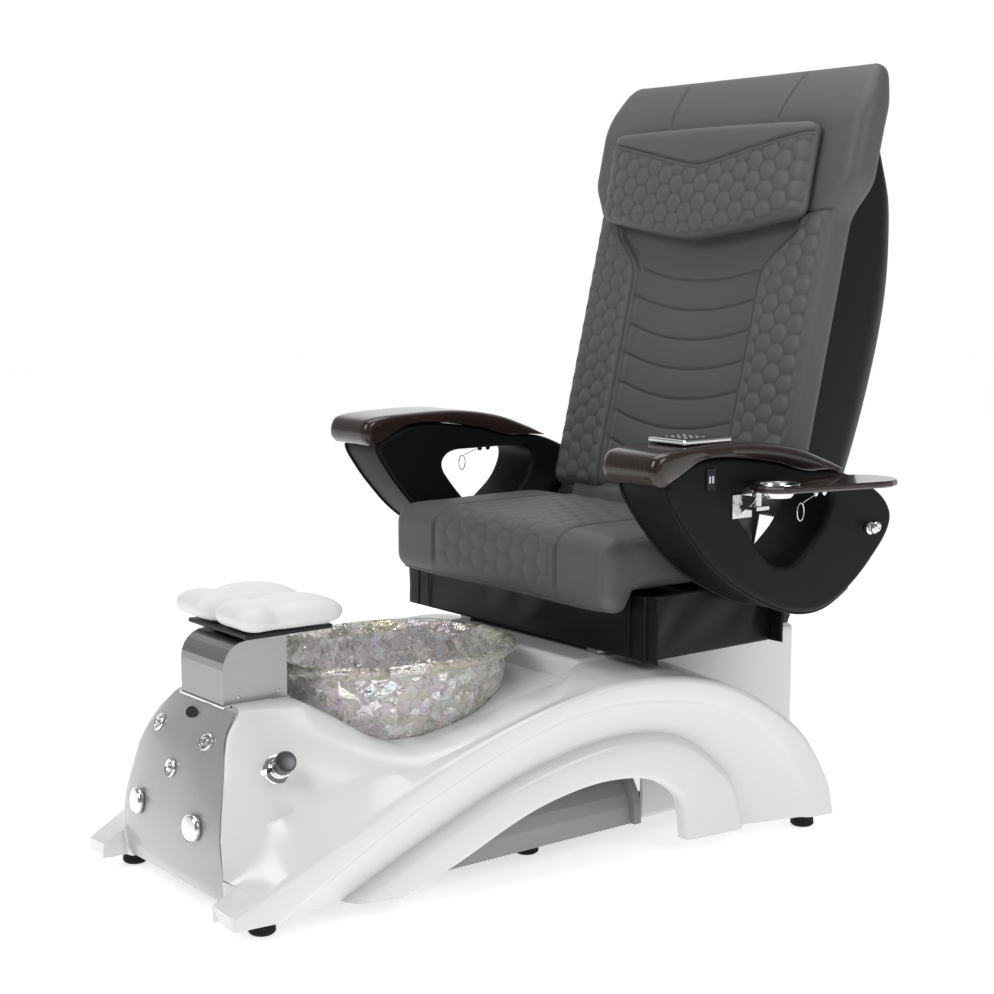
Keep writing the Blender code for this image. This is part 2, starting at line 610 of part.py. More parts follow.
def make_seat():
    s = SKIRT
    outer = box("seat_skirt", (-s["x"], s["front"], s["bottom"]), (s["x"], s["back"], s["top"]), "black_vinyl")
    round_edges(outer, 0.008, 2, 60)
    cut(outer, box("skirt_hollow", (-s["x"] + 0.004, s["front"] + 0.004, 0.30),
                   (s["x"] - 0.004, s["back"] - 0.004, 0.4720), "black_vinyl"), "hollow")
    c = SEAT
    side = [(c["back"], c["bottom"]), (c["back"], c["top"] - 0.020), (c["back"] - 0.02, c["top"] - 0.004),
            (0.200, c["top"] - 0.006), (0.060, c["top"]), (c["front"] + 0.040, c["top"] - 0.006),
            (c["front"] + 0.012, c["top"] - 0.022), (c["front"], c["top"] - 0.050),
            (c["front"] + 0.002, c["lip"] + 0.020), (c["front"] + 0.014, c["lip"]),
            (s["front"] - 0.012, c["lip"]), (s["front"] - GAP * 2, c["lip"] + 0.010),
            (s["front"] - GAP * 2, c["bottom"])]
    centre_y, centre_z = 0.5 * (c["front"] + c["back"]), 0.5 * (c["bottom"] + c["top"])
    rings = []
    for x, shrink in ((-c["x"], 0.93), (-c["x"] + 0.012, 1.0), (c["x"] - 0.012, 1.0), (c["x"], 0.93)):
        ring = []
        for y, z in side:
            y = centre_y + (y - centre_y) * (0.5 + 0.5 * shrink)
            z = max(centre_z + (z - centre_z) * shrink, z if z > centre_z - 0.06 and z < centre_z else 0.0)
            lip = z < c["bottom"] + 0.005 and y < centre_y
            ring.append((x, min(y, s["front"] - 2 * GAP) if lip else y, z))
        rings.append(ring)
    loft("seat_cushion", rings, "grey_leather", 50)
    frame_low, frame_high = 0.4000, 0.4200
    frame = box("plate", (-0.290, 0.045, frame_low), (0.290, 0.335, frame_high), "black_paint")
    window = box("seat_frame_window", (-0.130, 0.090, 0.3), (0.130, 0.290, 0.5), "black_paint")
    cut(frame, window, "window")
    hanger = [(0.3495, 0.3900), (0.3800, 0.3900), (0.4100, 0.4550), (0.4800, 0.5550), (0.4780, 0.5950),
              (0.4400, 0.5980), (0.3850, 0.5300), (0.3640, 0.4900), (0.3495, 0.4300)]
    parts = [prism_x(f"hanger_{i}", hanger, low, high, "black_paint", None)
             for i, (low, high) in enumerate(((-0.3500, -0.3390), (0.3390, 0.3500)))]
    parts.append(box("crossbar", (-0.3450, 0.3495, 0.3950), (0.3450, 0.3720, 0.4250), "black_paint"))
    parts.append(box("tongue", (-0.150, 0.330, frame_low), (0.150, 0.352, frame_high), "black_paint"))
    runners = [box(f"runner_{i}", (x - 0.018, 0.050, RAIL_TOP + GAP), (x + 0.018, 0.330, 0.402), "black_paint")
               for i, x in enumerate((-0.190, 0.190))]
    bosses = [place(turned(f"boss_{i}", [(0.0120, 0.0), (0.0120, ARM_INNER - 0.3450 - GAP)], "steel", 20),
                    (x, *ARM_PIVOT), (x, 0, 0)) for i, x in enumerate((-0.3450, 0.3450))]
    bpy.context.view_layer.update()
    for part in parts + runners + bosses:
        frame = union("seat_frame", frame, part)
    cut(outer, box("skirt_tongue_slot", (-0.151, 0.34, 0.3985), (0.151, 0.36, 0.4215), "black_vinyl"), "slot")
    for side_name, x in (("left", -0.190), ("right", 0.190)):
        box(f"slide_rail_{side_name}", (x - 0.015, 0.040, PEDESTAL["top"] + GAP), (x + 0.015, 0.440, RAIL_TOP),
            "steel")
    motor = box("recline_motor", (-0.060, 0.3800, 0.4300), (0.060, 0.4400, 0.4900), "graphite")
    round_edges(motor, 0.006, 2, 40)


def lean(target):
    """Set a piece made upright about the recline axis on the leaning back."""
    target.location = (0, HINGE_Y, HINGE_Z)
    target.rotation_euler = (-BACK_TILT, 0, 0)
    return target


def pad_front(u, height):
    """Front face of the back pad across its width (u from -1 to 1) at a height above the hinge."""
    across = abs(u) * PAD_X
    recess = CHANNEL_DEPTH * max(0.0, min(1.0, (CHANNEL_X + 0.02 - across) / 0.04))
    recess *= max(0.0, min(1.0, (0.66 - height) / 0.05))
    edge = 0.022 * max(0.0, (abs(u) - 0.88) / 0.12) ** 2
    head = 0.048 * max(0.0, (height - 0.83) / 0.125) ** 1.4
    return PAD_FRONT + recess + edge + head


def make_back():
    heights = [PAD_BOTTOM, PAD_BOTTOM + 0.02, 0.20, 0.32, 0.44, 0.56, 0.60, 0.63, 0.655, 0.69, 0.735, 0.83, 0.87,
               0.91, 0.94, PAD_TOP]
    columns = [-1, -0.95, -0.88, -0.6, -0.5, 0, 0.5, 0.6, 0.88, 0.95, 1]
    rings = []
    for height in heights:
        end = min(1.0, (height - PAD_BOTTOM) / 0.02, (PAD_TOP - height) / 0.015)
        inset = 0.012 * (1 - max(0.0, end))
        back = PAD_BACK - (0.004 if height < 0.68 else 0.0)
        wing = max(0.0, min(1.0, (height - WING["start"]) / (WING["full"] - WING["start"])))
        half = PAD_X - inset - 0.006 * (1 - wing) + WING["out"] * wing
        ring = [(u * half, min(pad_front(u, height) + inset, back - 0.012), height) for u in columns]
        ring += [(half, back - 0.004, height), (half - 0.02, back, height), (-half + 0.02, back, height),
                 (-half, back - 0.004, height)]
        rings.append(ring)
    lean(loft("back_pad", rings, "grey_leather", 50))

    rings = []
    rest = PAD_FRONT - GAP
    for u in (-1, -0.96, -0.8, -0.55, -0.3, 0, 0.3, 0.55, 0.8, 0.96, 1):
        low = PILLOW["middle"] + (PILLOW["corner"] - PILLOW["middle"]) * abs(u) ** 1.3
        face = []
        for t in (0.0, 0.08, 0.25, 0.5, 0.75, 0.92, 1.0):
            end = 1 - min(1.0, t / 0.08, (1 - t) / 0.08, (1 - abs(u)) / 0.04)
            deep = PILLOW["deep"] * (0.74 + 0.26 * t ** 1.2) - 0.010 * end - 0.020 * abs(u) ** 4
            face.append((u * PILLOW["x"], rest - max(deep, 0.006), low + (PILLOW["top"] - low) * t))
        rings.append(face + [(u * PILLOW["x"], rest, PILLOW["top"]), (u * PILLOW["x"], rest, low)])
    lean(loft("head_pillow", rings, "grey_leather", 50))

    rings = []
    profile = [(0.100, 0.150), (0.160, 0.180), (0.300, 0.205), (0.450, 0.217), (0.560, 0.212), (0.650, 0.194),
               (0.725, 0.168), (0.780, 0.128), (0.830, 0.082), (0.862, 0.046)]
    for z, deep in spline(profile, 13):
        section = []
        for u in (-1, -1, -0.985, -0.90, -0.72, -0.4, 0, 0.4, 0.72, 0.90, 0.985, 1, 1):
            section.append(u)
        ys = [0.0, 0.45, 0.72, 0.93, 0.985, 1.0, 1.0, 1.0, 0.985, 0.93, 0.72, 0.45, 0.0]
        start = PAD_BACK + GAP
        outer = [(u * 0.302, start + (deep - start) * k, z) for u, k in zip(section, ys)]
        inner = [(u * 0.296, start + max(0.0, (deep - 0.006 - start)) * k, z) for u, k in zip(section, ys)]
        inner[0] = (-0.296, start, z)
        inner[-1] = (0.296, start, z)
        rings.append(outer + inner[::-1])
    shell = loft("back_shell", rings, "black_shell", 35)
    top = [[(x, y, z) for x, y in ((-0.302, PAD_BACK + GAP), (0.302, PAD_BACK + GAP), (0.296, 0.045),
                                   (-0.296, 0.045))] for z in (0.856, 0.866)]
    lean(union("back_shell", shell, loft("shell_top", top, "black_shell", None)))

    tube = 0.014
    bars = [box(f"bar_{i}", (x - tube, 0.034, 0.125), (x + tube, 0.058, 0.800), "black_paint")
            for i, x in enumerate((-0.270, 0.270))]
    bars += [box(f"rung_{i}", (-0.27, 0.036, z), (0.27, 0.056, z + 0.028), "black_paint")
             for i, z in enumerate((0.130, 0.770))]
    lugs = [prism_x(f"lug_{i}", [(0.033, 0.165), (0.055, 0.165), (0.055, 0.060), (0.016, -0.014), (-0.010, -0.014),
                                 (-0.014, 0.012), (0.000, 0.060), (0.033, 0.068)], low, high, "black_paint", None)
            for i, (low, high) in enumerate(((-0.2840, -0.2700), (0.2700, 0.2840)))]
    frame = bars[0]
    for part in bars[2:] + [bars[1]] + lugs:
        frame = union("back_frame", frame, part)
    pin = turned("pins", [(0.0080, -0.3380), (0.0080, 0.3380)], "black_paint", 16)
    pin.data.transform(Matrix.Rotation(math.pi / 2, 4, "Y"))
    frame = union("back_frame", frame, pin)
    lean(frame)

    carriage = box("massage_carriage", (-0.110, 0.062, 0.200), (0.110, 0.120, 0.300), "dark_plastic")
    round_edges(carriage, 0.006, 2, 40)
    cut(carriage, lean(box("carriage_notch", (-0.085, 0.0, 0.222), (0.085, 0.0935, 0.278), "dark_plastic")),
        "notch")
    lean(carriage)
    profile = [(0.006, -0.0840), (0.006, -0.0700), (0.020, -0.0680), (0.025, -0.0560), (0.020, -0.0440),
               (0.006, -0.0420), (0.006, 0.0420), (0.020, 0.0440), (0.025, 0.0560), (0.020, 0.0680),
               (0.006, 0.0700), (0.006, 0.0840)]
    rollers = turned("massage_rollers", profile, "rubber", 14)
    rollers.data.transform(Matrix.Translation((0, 0.0620, 0.250)) @ Matrix.Rotation(math.pi / 2, 4, "Y"))
    lean(rollers)


def make_arm(side_name, side):
    inner, outer = sorted((side * ARM_INNER, side * ARM_OUTER))
    pod = prism_x(f"arm_pod_{side_name}", POD_OUTLINE, inner, outer, "black_leather")
    cut(pod, prism_x(f"window_{side_name}", WINDOW_OUTLINE, inner - 0.02, outer + 0.02, "black_leather"),
        "window")
    low, high = sorted((side * (ARM_INNER - 0.005), side * (ARM_OUTER + 0.004)))
    prism_x(f"arm_cap_{side_name}", CAP_TOP + CAP_UNDER, low, high, "espresso_wood", 30)
    knob = turned(f"arm_pivot_{side_name}", [(0.0100, 0.0), (0.0115, 0.001), (0.0115, 0.0070), (0.0080, 0.0085),
                                             (0.0055, 0.0095), (0.0055, 0.0115), (0.0085, 0.0125),
                                             (0.0092, 0.0145), (0.0085, 0.0170), (0.0040, 0.0180)],
                  "chrome", 14)
    place(knob, (side * (ARM_OUTER + GAP), ARM_PIVOT[0], ARM_PIVOT[1]), (side, 0, 0))
    make_tray(side_name, side)


def capsule(first, second, steps=9):
    """Outline round two circles (x, y, radius) and the tangents between them."""
    delta = Vector((second[0] - first[0], second[1] - first[1]))
    heading = math.atan2(delta.y, delta.x)
    tilt = math.acos((first[2] - second[2]) / delta.length)
    outline = []
    for (x, y, r), start, end in ((second, heading - tilt, heading + tilt),
                                  (first, heading + tilt, heading + 2 * math.pi - tilt)):
        for i in range(steps + 1):
            a = start + (end - start) * i / steps
            outline.append((x + r * math.cos(a), y + r * math.sin(a)))
    return outline


def make_tray(side_name, side):
    outline = [(side * x, y) for x, y in capsule(TRAY_NEAR, TRAY_FAR)]
    tray = prism_z(f"tray_{side_name}", outline, *TRAY_Z, "espresso_wood", 30)
    round_edges(tray, 0.003, 1, 50)
    x, y, _ = TRAY_NEAR
    hole = turned(f"dish_hole_{side_name}", [(DISH_RADIUS + GAP, -0.03), (DISH_RADIUS + 2 * GAP, 0.03)], "steel", 20)
    cut(tray, place(hole, (side * x, y, TRAY_Z[0])), "dish_hole")
    pin_hole = turned(f"pin_hole_{side_name}", [(0.0043, -0.02), (0.0043, 0.0065)], "steel", 16)
    cut(tray, place(pin_hole, (side * TRAY_PIVOT[0], TRAY_PIVOT[1], TRAY_Z[0])), "pin_hole")
    dish = turned(f"tray_dish_{side_name}",
                  [(0.016, -0.0125), (DISH_RADIUS - 0.004, -0.0100), (DISH_RADIUS, -0.0020), (DISH_RADIUS, 0.0113),
                   (0.0385, 0.0116), (0.0390, 0.0130), (0.0370, 0.0138), (0.0290, 0.0122), (0.0265, 0.0050),
                   (0.0235, -0.0065), (0.0140, -0.0095)], "chrome", 20)
    place(dish, (side * x, y, TRAY_Z[0]))
    low, high = sorted((side * (ARM_OUTER + GAP), side * 0.534))
    pivot_y = TRAY_PIVOT[1]
    bracket = box("bracket", (low, pivot_y - 0.015, 0.6420), (high, pivot_y + 0.015, 0.6480), "steel")
    wall_low, wall_high = sorted((side * (ARM_OUTER + GAP), side * 0.4865))
    wall = box("wall", (wall_low, pivot_y - 0.023, 0.6240), (wall_high, pivot_y + 0.023, 0.6640), "steel")
    bracket = union("bracket", bracket, wall)
    post = turned("post", [(0.0065, 0.0), (0.0065, 0.0245), (0.0040, 0.0247), (0.0040, 0.0297)], "steel", 20)
    place(post, (side * TRAY_PIVOT[0], TRAY_PIVOT[1], 0.6465))
    bpy.context.view_layer.update()
    union(f"tray_bracket_{side_name}", bracket, post)


def make_arm_controls():
    pad = box("control_panel", (0.372, 0.002, 0.7506), (0.462, 0.112, 0.7600), "steel")
    round_edges(pad, 0.003, 2, 40)
    box("usb_port", (ARM_OUTER + GAP, 0.033, 0.676), (ARM_OUTER + 0.0025, 0.053, 0.712), "dark_plastic")


def build():
    clear_scene()
    make_frame_and_feet()
    make_deck()
    for side_name, side in (("left", -1), ("right", 1)):
        make_arch(f"side_arch_{side_name}", side)
        make_arm(side_name, side)
    make_front_panel()
    make_front_controls()
    make_pedestal()
    make_bowl()
    make_pump()
    make_valve()
    make_footrest()
    make_seat()
    make_back()
    make_arm_controls()


if __name__ == "__main__":
    build()
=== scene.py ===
"""Looks of the pedicure spa chair: upholstery, moulding, metalwork, glass and stage, round the frame."""
import json
import math

import bmesh
import bpy
import numpy as np
from bpy.props import FloatProperty, FloatVectorProperty, IntProperty, PointerProperty
from mathutils import Matrix, Vector


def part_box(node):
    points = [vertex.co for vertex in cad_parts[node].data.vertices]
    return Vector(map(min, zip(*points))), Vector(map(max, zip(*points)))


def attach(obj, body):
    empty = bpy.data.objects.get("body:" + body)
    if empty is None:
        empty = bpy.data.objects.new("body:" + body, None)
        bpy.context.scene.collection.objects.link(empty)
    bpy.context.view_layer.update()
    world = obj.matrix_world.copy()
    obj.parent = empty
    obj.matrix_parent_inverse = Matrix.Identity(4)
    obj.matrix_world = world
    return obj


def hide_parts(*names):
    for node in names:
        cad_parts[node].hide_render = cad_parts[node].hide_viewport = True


bl_info = {
    "name": "Spa Chair Looks",
    "version": (1, 0, 0),
    "blender": (4, 5, 0),
    "location": "3D View > Sidebar > Spa Chair",
    "description": "Upholstery, moulded base, glass bowl and metalwork of a pedicure spa chair",
    "category": "Object",
}

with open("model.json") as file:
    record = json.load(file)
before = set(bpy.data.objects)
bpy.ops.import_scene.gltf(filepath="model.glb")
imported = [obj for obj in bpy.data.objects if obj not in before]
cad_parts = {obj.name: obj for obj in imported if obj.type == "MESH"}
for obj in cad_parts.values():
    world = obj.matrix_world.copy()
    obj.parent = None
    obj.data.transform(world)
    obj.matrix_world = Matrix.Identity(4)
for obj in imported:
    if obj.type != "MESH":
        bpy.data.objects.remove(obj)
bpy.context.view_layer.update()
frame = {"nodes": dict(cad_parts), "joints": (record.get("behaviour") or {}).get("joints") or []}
NODES = frame["nodes"]
JOINTS = {joint["name"]: joint for joint in frame["joints"]}

HINGE = Vector(JOINTS["back_recline"]["pos_m"])
BACK_UP = Vector(JOINTS["massage_travel"]["axis"]).normalized()      # up along the leaning back
BACK_OUT = Vector((0.0, BACK_UP.z, -BACK_UP.y))                      # towards the back shell
SIDES = (("left", -1), ("right", 1))
SIMULATED_FRAMES = 20

# Moulded base: the edges of its side arches as (y, z), and the flare of their outer faces
FLOOR_EDGE_Z = 0.027
ARCH_X_FRONT, ARCH_FLARE, TOE_Y = 0.250, 0.1346, -0.735
RIM_EDGE = [(-0.738, 0.027), (-0.741, 0.048), (-0.563, 0.133), (-0.314, 0.257), (-0.057, 0.327),
            (0.172, 0.309), (0.346, 0.211), (0.427, 0.101), (0.448, 0.027)]
STEP_EDGE = [(-0.667, 0.027), (-0.450, 0.160), (-0.230, 0.259), (-0.057, 0.300), (0.120, 0.288),
             (0.246, 0.245), (0.321, 0.183), (0.374, 0.109), (0.403, 0.027)]
GROOVE_EDGE = [(-0.530, 0.027), (-0.370, 0.108), (-0.211, 0.178), (-0.037, 0.218), (0.101, 0.208),
               (0.197, 0.141), (0.227, 0.091), (0.244, 0.027)]
OPENING_EDGE = [(-0.445, 0.027), (-0.347, 0.066), (-0.222, 0.124), (-0.137, 0.151), (-0.048, 0.164),
                (0.040, 0.155), (0.103, 0.119), (0.119, 0.080), (0.126, 0.027)]
TOE_INNER_X = 0.194
DECK = [(-0.640, 0.100, 0.330), (-0.530, 0.112, 0.328), (-0.478, 0.130, 0.297), (-0.425, 0.158, 0.260),
        (-0.382, 0.172, 0.243), (-0.314, 0.178, 0.244), (-0.215, 0.185, 0.264), (-0.148, 0.195, 0.288),
        (-0.080, 0.205, 0.303), (-0.027, 0.212, 0.306)]      # y, half width, height of the deck
NOSE_LEAN, NOSE_RUN = 0.062, 0.2043
PANEL = [(0.330, -0.6475, 0.100), (0.290, -0.676, 0.117), (0.240, -0.693, 0.143), (0.150, -0.712, 0.160),
         (0.090, -0.714, 0.171), (0.050, -0.707, 0.168), (0.034, -0.702, 0.156)]   # z, y, half width
NOSE_STEPS = 9                                                # points down the nose's side edges
ARCH_STATIONS = 150
BOWL_POWER, BOWL_SEGMENTS, BOWL_RINGS = 2.37, 240, 44
BACK_HALF = 0.370                                             # half width of the back pad before it is shaped

# Wooden arm caps: their top from the rear tip round the front, and their underside, as (y, z)
CAP_TOP = [(0.372, 0.6900), (0.330, 0.709), (0.250, 0.735), (0.140, 0.750), (0.000, 0.749), (-0.066, 0.743),
           (-0.084, 0.728), (-0.086, 0.704), (-0.074, 0.690)]
CAP_UNDER = [(0.371, 0.6868), (0.330, 0.6905), (0.270, 0.6940), (0.199, 0.7128), (0.095, 0.7278),
             (0.023, 0.7278), (-0.020, 0.7098), (-0.048, 0.6960), (-0.062, 0.6899)]


# ---------------------------------------------------------------- numbers that follow the frame

def size_of(node):
    low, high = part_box(node)
    return high - low


def middle_of(node):
    low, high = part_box(node)
    return (low + high) / 2


def smooth(t):
    """0 below 0, 1 above 1 and a soft step between, for numbers and arrays."""
    t = np.clip(t, 0.0, 1.0)
    return t * t * (3 - 2 * t)


def on_back(points):
    """World places of points given as (x, depth, height) on the leaning back, measured from its hinge."""
    x, depth, height = np.asarray(points, float).T
    return np.stack([x, HINGE.y + depth * BACK_OUT.y + height * BACK_UP.y,
                     HINGE.z + depth * BACK_OUT.z + height * BACK_UP.z], 1)


def spline(points, count, closed=False):
    """Evenly spaced points on a smooth curve through the given ones."""
    points = [Vector(p) for p in points]
    if closed:
        padded = [points[-1], *points, points[0], points[1]]
    else:
        padded = [2 * points[0] - points[1], *points, 2 * points[-1] - points[-2]]
    fine = []
    for p0, p1, p2, p3 in zip(padded, padded[1:], padded[2:], padded[3:]):
        for step in range(16):
            t = step / 16
            fine.append(0.5 * (2 * p1 + (p2 - p0) * t + (2 * p0 - 5 * p1 + 4 * p2 - p3) * t * t
                               + (3 * p1 - p0 - 3 * p2 + p3) * t ** 3))
    fine.append(points[0] if closed else points[-1])
    lengths = np.concatenate([[0.0], np.cumsum([(b - a).length for a, b in zip(fine, fine[1:])])])
    at = np.linspace(0.0, lengths[-1], count + closed)[:count]
    table = np.array([list(p) for p in fine])
    return [Vector([float(np.interp(d, lengths, table[:, k])) for k in range(table.shape[1])]) for d in at]


def rounded(points, radius, steps=3, closed=False):
    """A polyline whose corners are turned into short curves of about this radius."""
    points = [Vector(p) for p in points]
    result = [] if closed else [points[0]]
    count = len(points)
    for i in range(0 if closed else 1, count if closed else count - 1):
        before, corner, after = points[i - 1], points[i], points[(i + 1) % count]
        reach_in = min(radius, (before - corner).length * 0.48)
        reach_out = min(radius, (after - corner).length * 0.48)
        start = corner + (before - corner).normalized() * reach_in if reach_in else corner
        end = corner + (after - corner).normalized() * reach_out if reach_out else corner
        for step in range(steps + 1):
            t = step / steps
            result.append(start * (1 - t) ** 2 + corner * (2 * t * (1 - t)) + end * t * t)
    return result if closed else result + [points[-1]]


# ---------------------------------------------------------------- meshes

def new_object(name, points, faces, sharp=None):
    mesh = bpy.data.meshes.new(name)
    mesh.from_pydata([tuple(p) for p in points], [], faces)
    return link_mesh(name, mesh, sharp)


def link_mesh(name, mesh, sharp=None):
    mesh.shade_smooth()
    if sharp is not None:
        mesh.set_sharp_from_angle(angle=math.radians(sharp))
    result = bpy.data.objects.new(name, mesh)
    bpy.context.scene.collection.objects.link(result)
    return result


def from_bmesh(name, mesh, sharp=None, outward=True):
    if outward:
        bmesh.ops.recalc_face_normals(mesh, faces=mesh.faces)
    data = bpy.data.meshes.new(name)
    mesh.to_mesh(data)
    mesh.free()
    return link_mesh(name, data, sharp)


def settle(target, sharp=None):
    """Turn an object with modifiers, or a curve, into a plain mesh at the origin."""
    bpy.context.view_layer.update()
    evaluated = target.evaluated_get(bpy.context.evaluated_depsgraph_get())
    mesh = bpy.data.meshes.new_from_object(evaluated)
    mesh.transform(target.matrix_world)
    name = target.name
    bpy.data.objects.remove(target)
    mesh.name = name
    return link_mesh(name, mesh, sharp)


def coordinates(mesh):
    co = np.empty(len(mesh.vertices) * 3, np.float32)
    mesh.vertices.foreach_get("co", co)
    return co.reshape(-1, 3).astype(float)


def set_coordinates(mesh, points):
    mesh.vertices.foreach_set("co", np.asarray(points, np.float32).ravel())
    mesh.update()


def normals_of(mesh):
    found = np.empty(len(mesh.vertices) * 3, np.float32)
    mesh.vertex_normals.foreach_get("vector", found)
    return found.reshape(-1, 3).astype(float)


def keep_value(mesh, name, values):
    """Store one number for each vertex, for a material to read."""
    attribute = mesh.attributes.new(name, "FLOAT", "POINT")
    attribute.data.foreach_set("value", np.asarray(values, np.float32))


def lattice(counts):
    """Corners and quads of the skin of a box of counts[0] by counts[1] by counts[2] cells."""
    index, corners, faces = {}, [], []
    for axis in range(3):
        u, v = (axis + 1) % 3, (axis + 2) % 3
        for side in (0, counts[axis]):
            for i in range(counts[u]):
                for j in range(counts[v]):
                    loop = []
                    for di, dj in ((0, 0), (1, 0), (1, 1), (0, 1)):
                        key = [0, 0, 0]
                        key[axis], key[u], key[v] = side, i + di, j + dj
                        key = tuple(key)
                        if key not in index:
                            index[key] = len(corners)
                            corners.append(key)
                        loop.append(index[key])
                    faces.append(loop if side else loop[::-1])
    return np.array(corners, float), faces


def soft_block(name, low, high, radius, spacing, shape):
    """A block with rounded edges in even quads, bent into its shape by a function of its points."""
    low, high, radius = np.array(low), np.array(high), np.array(radius)
    counts = [max(3, int(round(s / spacing))) for s in high - low]
    corners, faces = lattice(counts)
    points = low + corners / np.array(counts) * (high - low)
    core = np.clip(points, low + radius, high - radius)
    away = (points - core) / radius
    length = np.linalg.norm(away, axis=1, keepdims=True)
    points = core + away / np.maximum(length, 1e-9) * radius
    return new_object(name, shape(points), faces)


def puff(target, pressure, most):
    """Blow the cover up with a short cloth simulation, no point moving further than most."""
    scene = bpy.context.scene
    before = coordinates(target.data)
    cloth = target.modifiers.new("cloth", "CLOTH")
    cloth.settings.use_pressure = True
    cloth.settings.uniform_pressure_force = pressure
    cloth.settings.effector_weights.gravity = 0.0
    cloth.settings.quality = 5
    cloth.point_cache.frame_start = 1
    cloth.point_cache.frame_end = SIMULATED_FRAMES
    for number in range(1, SIMULATED_FRAMES + 1):
        scene.frame_set(number)
    evaluated = target.evaluated_get(bpy.context.evaluated_depsgraph_get())
    after = coordinates(evaluated.data)
    target.modifiers.remove(cloth)
    scene.frame_set(1)
    move = after - before
    length = np.linalg.norm(move, axis=1, keepdims=True)
    set_coordinates(target.data, before + move * np.minimum(1.0, most / np.maximum(length, 1e-9)))


def refine(target, levels):
    modifier = target.modifiers.new("subdivision", "SUBSURF")
    modifier.levels = modifier.render_levels = levels
    return settle(target)


def sew(target, relief, place):
    """Press seams and quilting into a cover, then stand it in the world. Keeps the depth of the grooves, for
    the painted shade down in the seams and between the bubbles.
    """
    points, normals = coordinates(target.data), normals_of(target.data)
    move, groove = relief(points, normals)
    keep_value(target.data, "groove", np.clip(groove, 0.0, 1.0))
    set_coordinates(target.data, place(points + normals * move[:, None]))
    return target


def crease(distance, width):
    """Depth of a seam across its width, 1 in the middle."""
    return np.exp(-(distance / width) ** 2)


def domes(a, b, column, pitch):
    """Height, 0 to 1, of round bubbles in staggered columns, and how close a point is to the valleys."""
    best = np.full(a.shape, 9.0)
    base = np.floor(a / column)
    for step in (0, 1):
        number = base + step
        da = a - number * column
        shift = np.mod(number, 2) * 0.5
        db = (b / pitch - shift - np.round(b / pitch - shift)) * pitch
        best = np.minimum(best, np.sqrt(da ** 2 + db ** 2))
    reach = 0.56 * pitch
    share = np.clip(best / reach, 0.0, 1.0)
    return 1 - share ** 2.4, smooth((share - 0.72) / 0.25)


def grid(rows, closed_rows=False):
    """Points and quads of rows of equally many points."""
    points = [p for row in rows for p in row]
    width = len(rows[0])
    faces = []
    for r in range(len(rows) - 1):
        for c in range(width if closed_rows else width - 1):
            d = (c + 1) % width
            faces.append((r * width + c, r * width + d, (r + 1) * width + d, (r + 1) * width + c))
    return points, faces


def face_outward(target):
    """Recalculate the normals of a closed piece."""
    mesh = bmesh.new()
    mesh.from_mesh(target.data)
    bmesh.ops.recalc_face_normals(mesh, faces=mesh.faces)
    mesh.to_mesh(target.data)
    mesh.free()
    return target


def walled(name, rows, thickness, out_y, sharp):
    """A sheet from rows of points with a wall behind it. Its face looks along out_y, -1 or 1."""
    points, faces = grid(rows)
    sheet = new_object(name, points, faces)
    wall = sheet.modifiers.new("wall", "SOLIDIFY")
    wall.thickness = thickness
    wall.offset = -1.0 if sheet.data.polygons[len(faces) // 2].normal.y * out_y > 0 else 1.0
    return face_outward(settle(sheet, sharp))


def closed_loft(name, rings, sharp=None):
    """A closed piece from rings of points laid one after the other, with a face over each end."""
    points, faces = grid(rings, closed_rows=True)
    wide = len(rings[0])
    faces += [tuple(range(wide)), tuple(range(len(points) - wide, len(points)))]
    mesh = bmesh.new()
    made = [mesh.verts.new(p) for p in points]
    for face in faces:
        mesh.faces.new([made[i] for i in face])
    return from_bmesh(name, mesh, sharp)


def turned(name, profile, origin, direction, segments=48, sharp=28):
    """Turn a (radius, height) profile about a direction. A profile that ends where it starts makes a ring,
    and the ends of any other are closed with a disc."""
    mesh = bmesh.new()
    rings = [[mesh.verts.new((r * math.cos(a), r * math.sin(a), h))
              for a in (2 * math.pi * i / segments for i in range(segments))] for r, h in profile]
    for low, high in zip(rings, rings[1:]):
        for i in range(segments):
            j = (i + 1) % segments
            mesh.faces.new((low[i], low[j], high[j], high[i]))
    if profile[0] == profile[-1]:
        bmesh.ops.remove_doubles(mesh, verts=mesh.verts, dist=1e-6)
    else:
        mesh.faces.new(rings[0])
        mesh.faces.new(rings[-1])
    turn = Vector((0, 0, 1)).rotation_difference(Vector(direction).normalized()).to_matrix().to_4x4()
    bmesh.ops.transform(mesh, matrix=Matrix.Translation(origin) @ turn, verts=mesh.verts)
    return from_bmesh(name, mesh, sharp)


def tube(name, points, radius, closed=False, resolution=3):
    """A round cord, wire or piping along points."""
    curve = bpy.data.curves.new(name, "CURVE")
    curve.dimensions = "3D"
    curve.bevel_depth = radius
    curve.bevel_resolution = resolution
    curve.use_fill_caps = True
    run = curve.splines.new("POLY")
    run.points.add(len(points) - 1)
    for target, point in zip(run.points, points):
        target.co = (*point, 1.0)
    run.use_cyclic_u = closed
    result = bpy.data.objects.new(name, curve)
    bpy.context.scene.collection.objects.link(result)
    return settle(result)


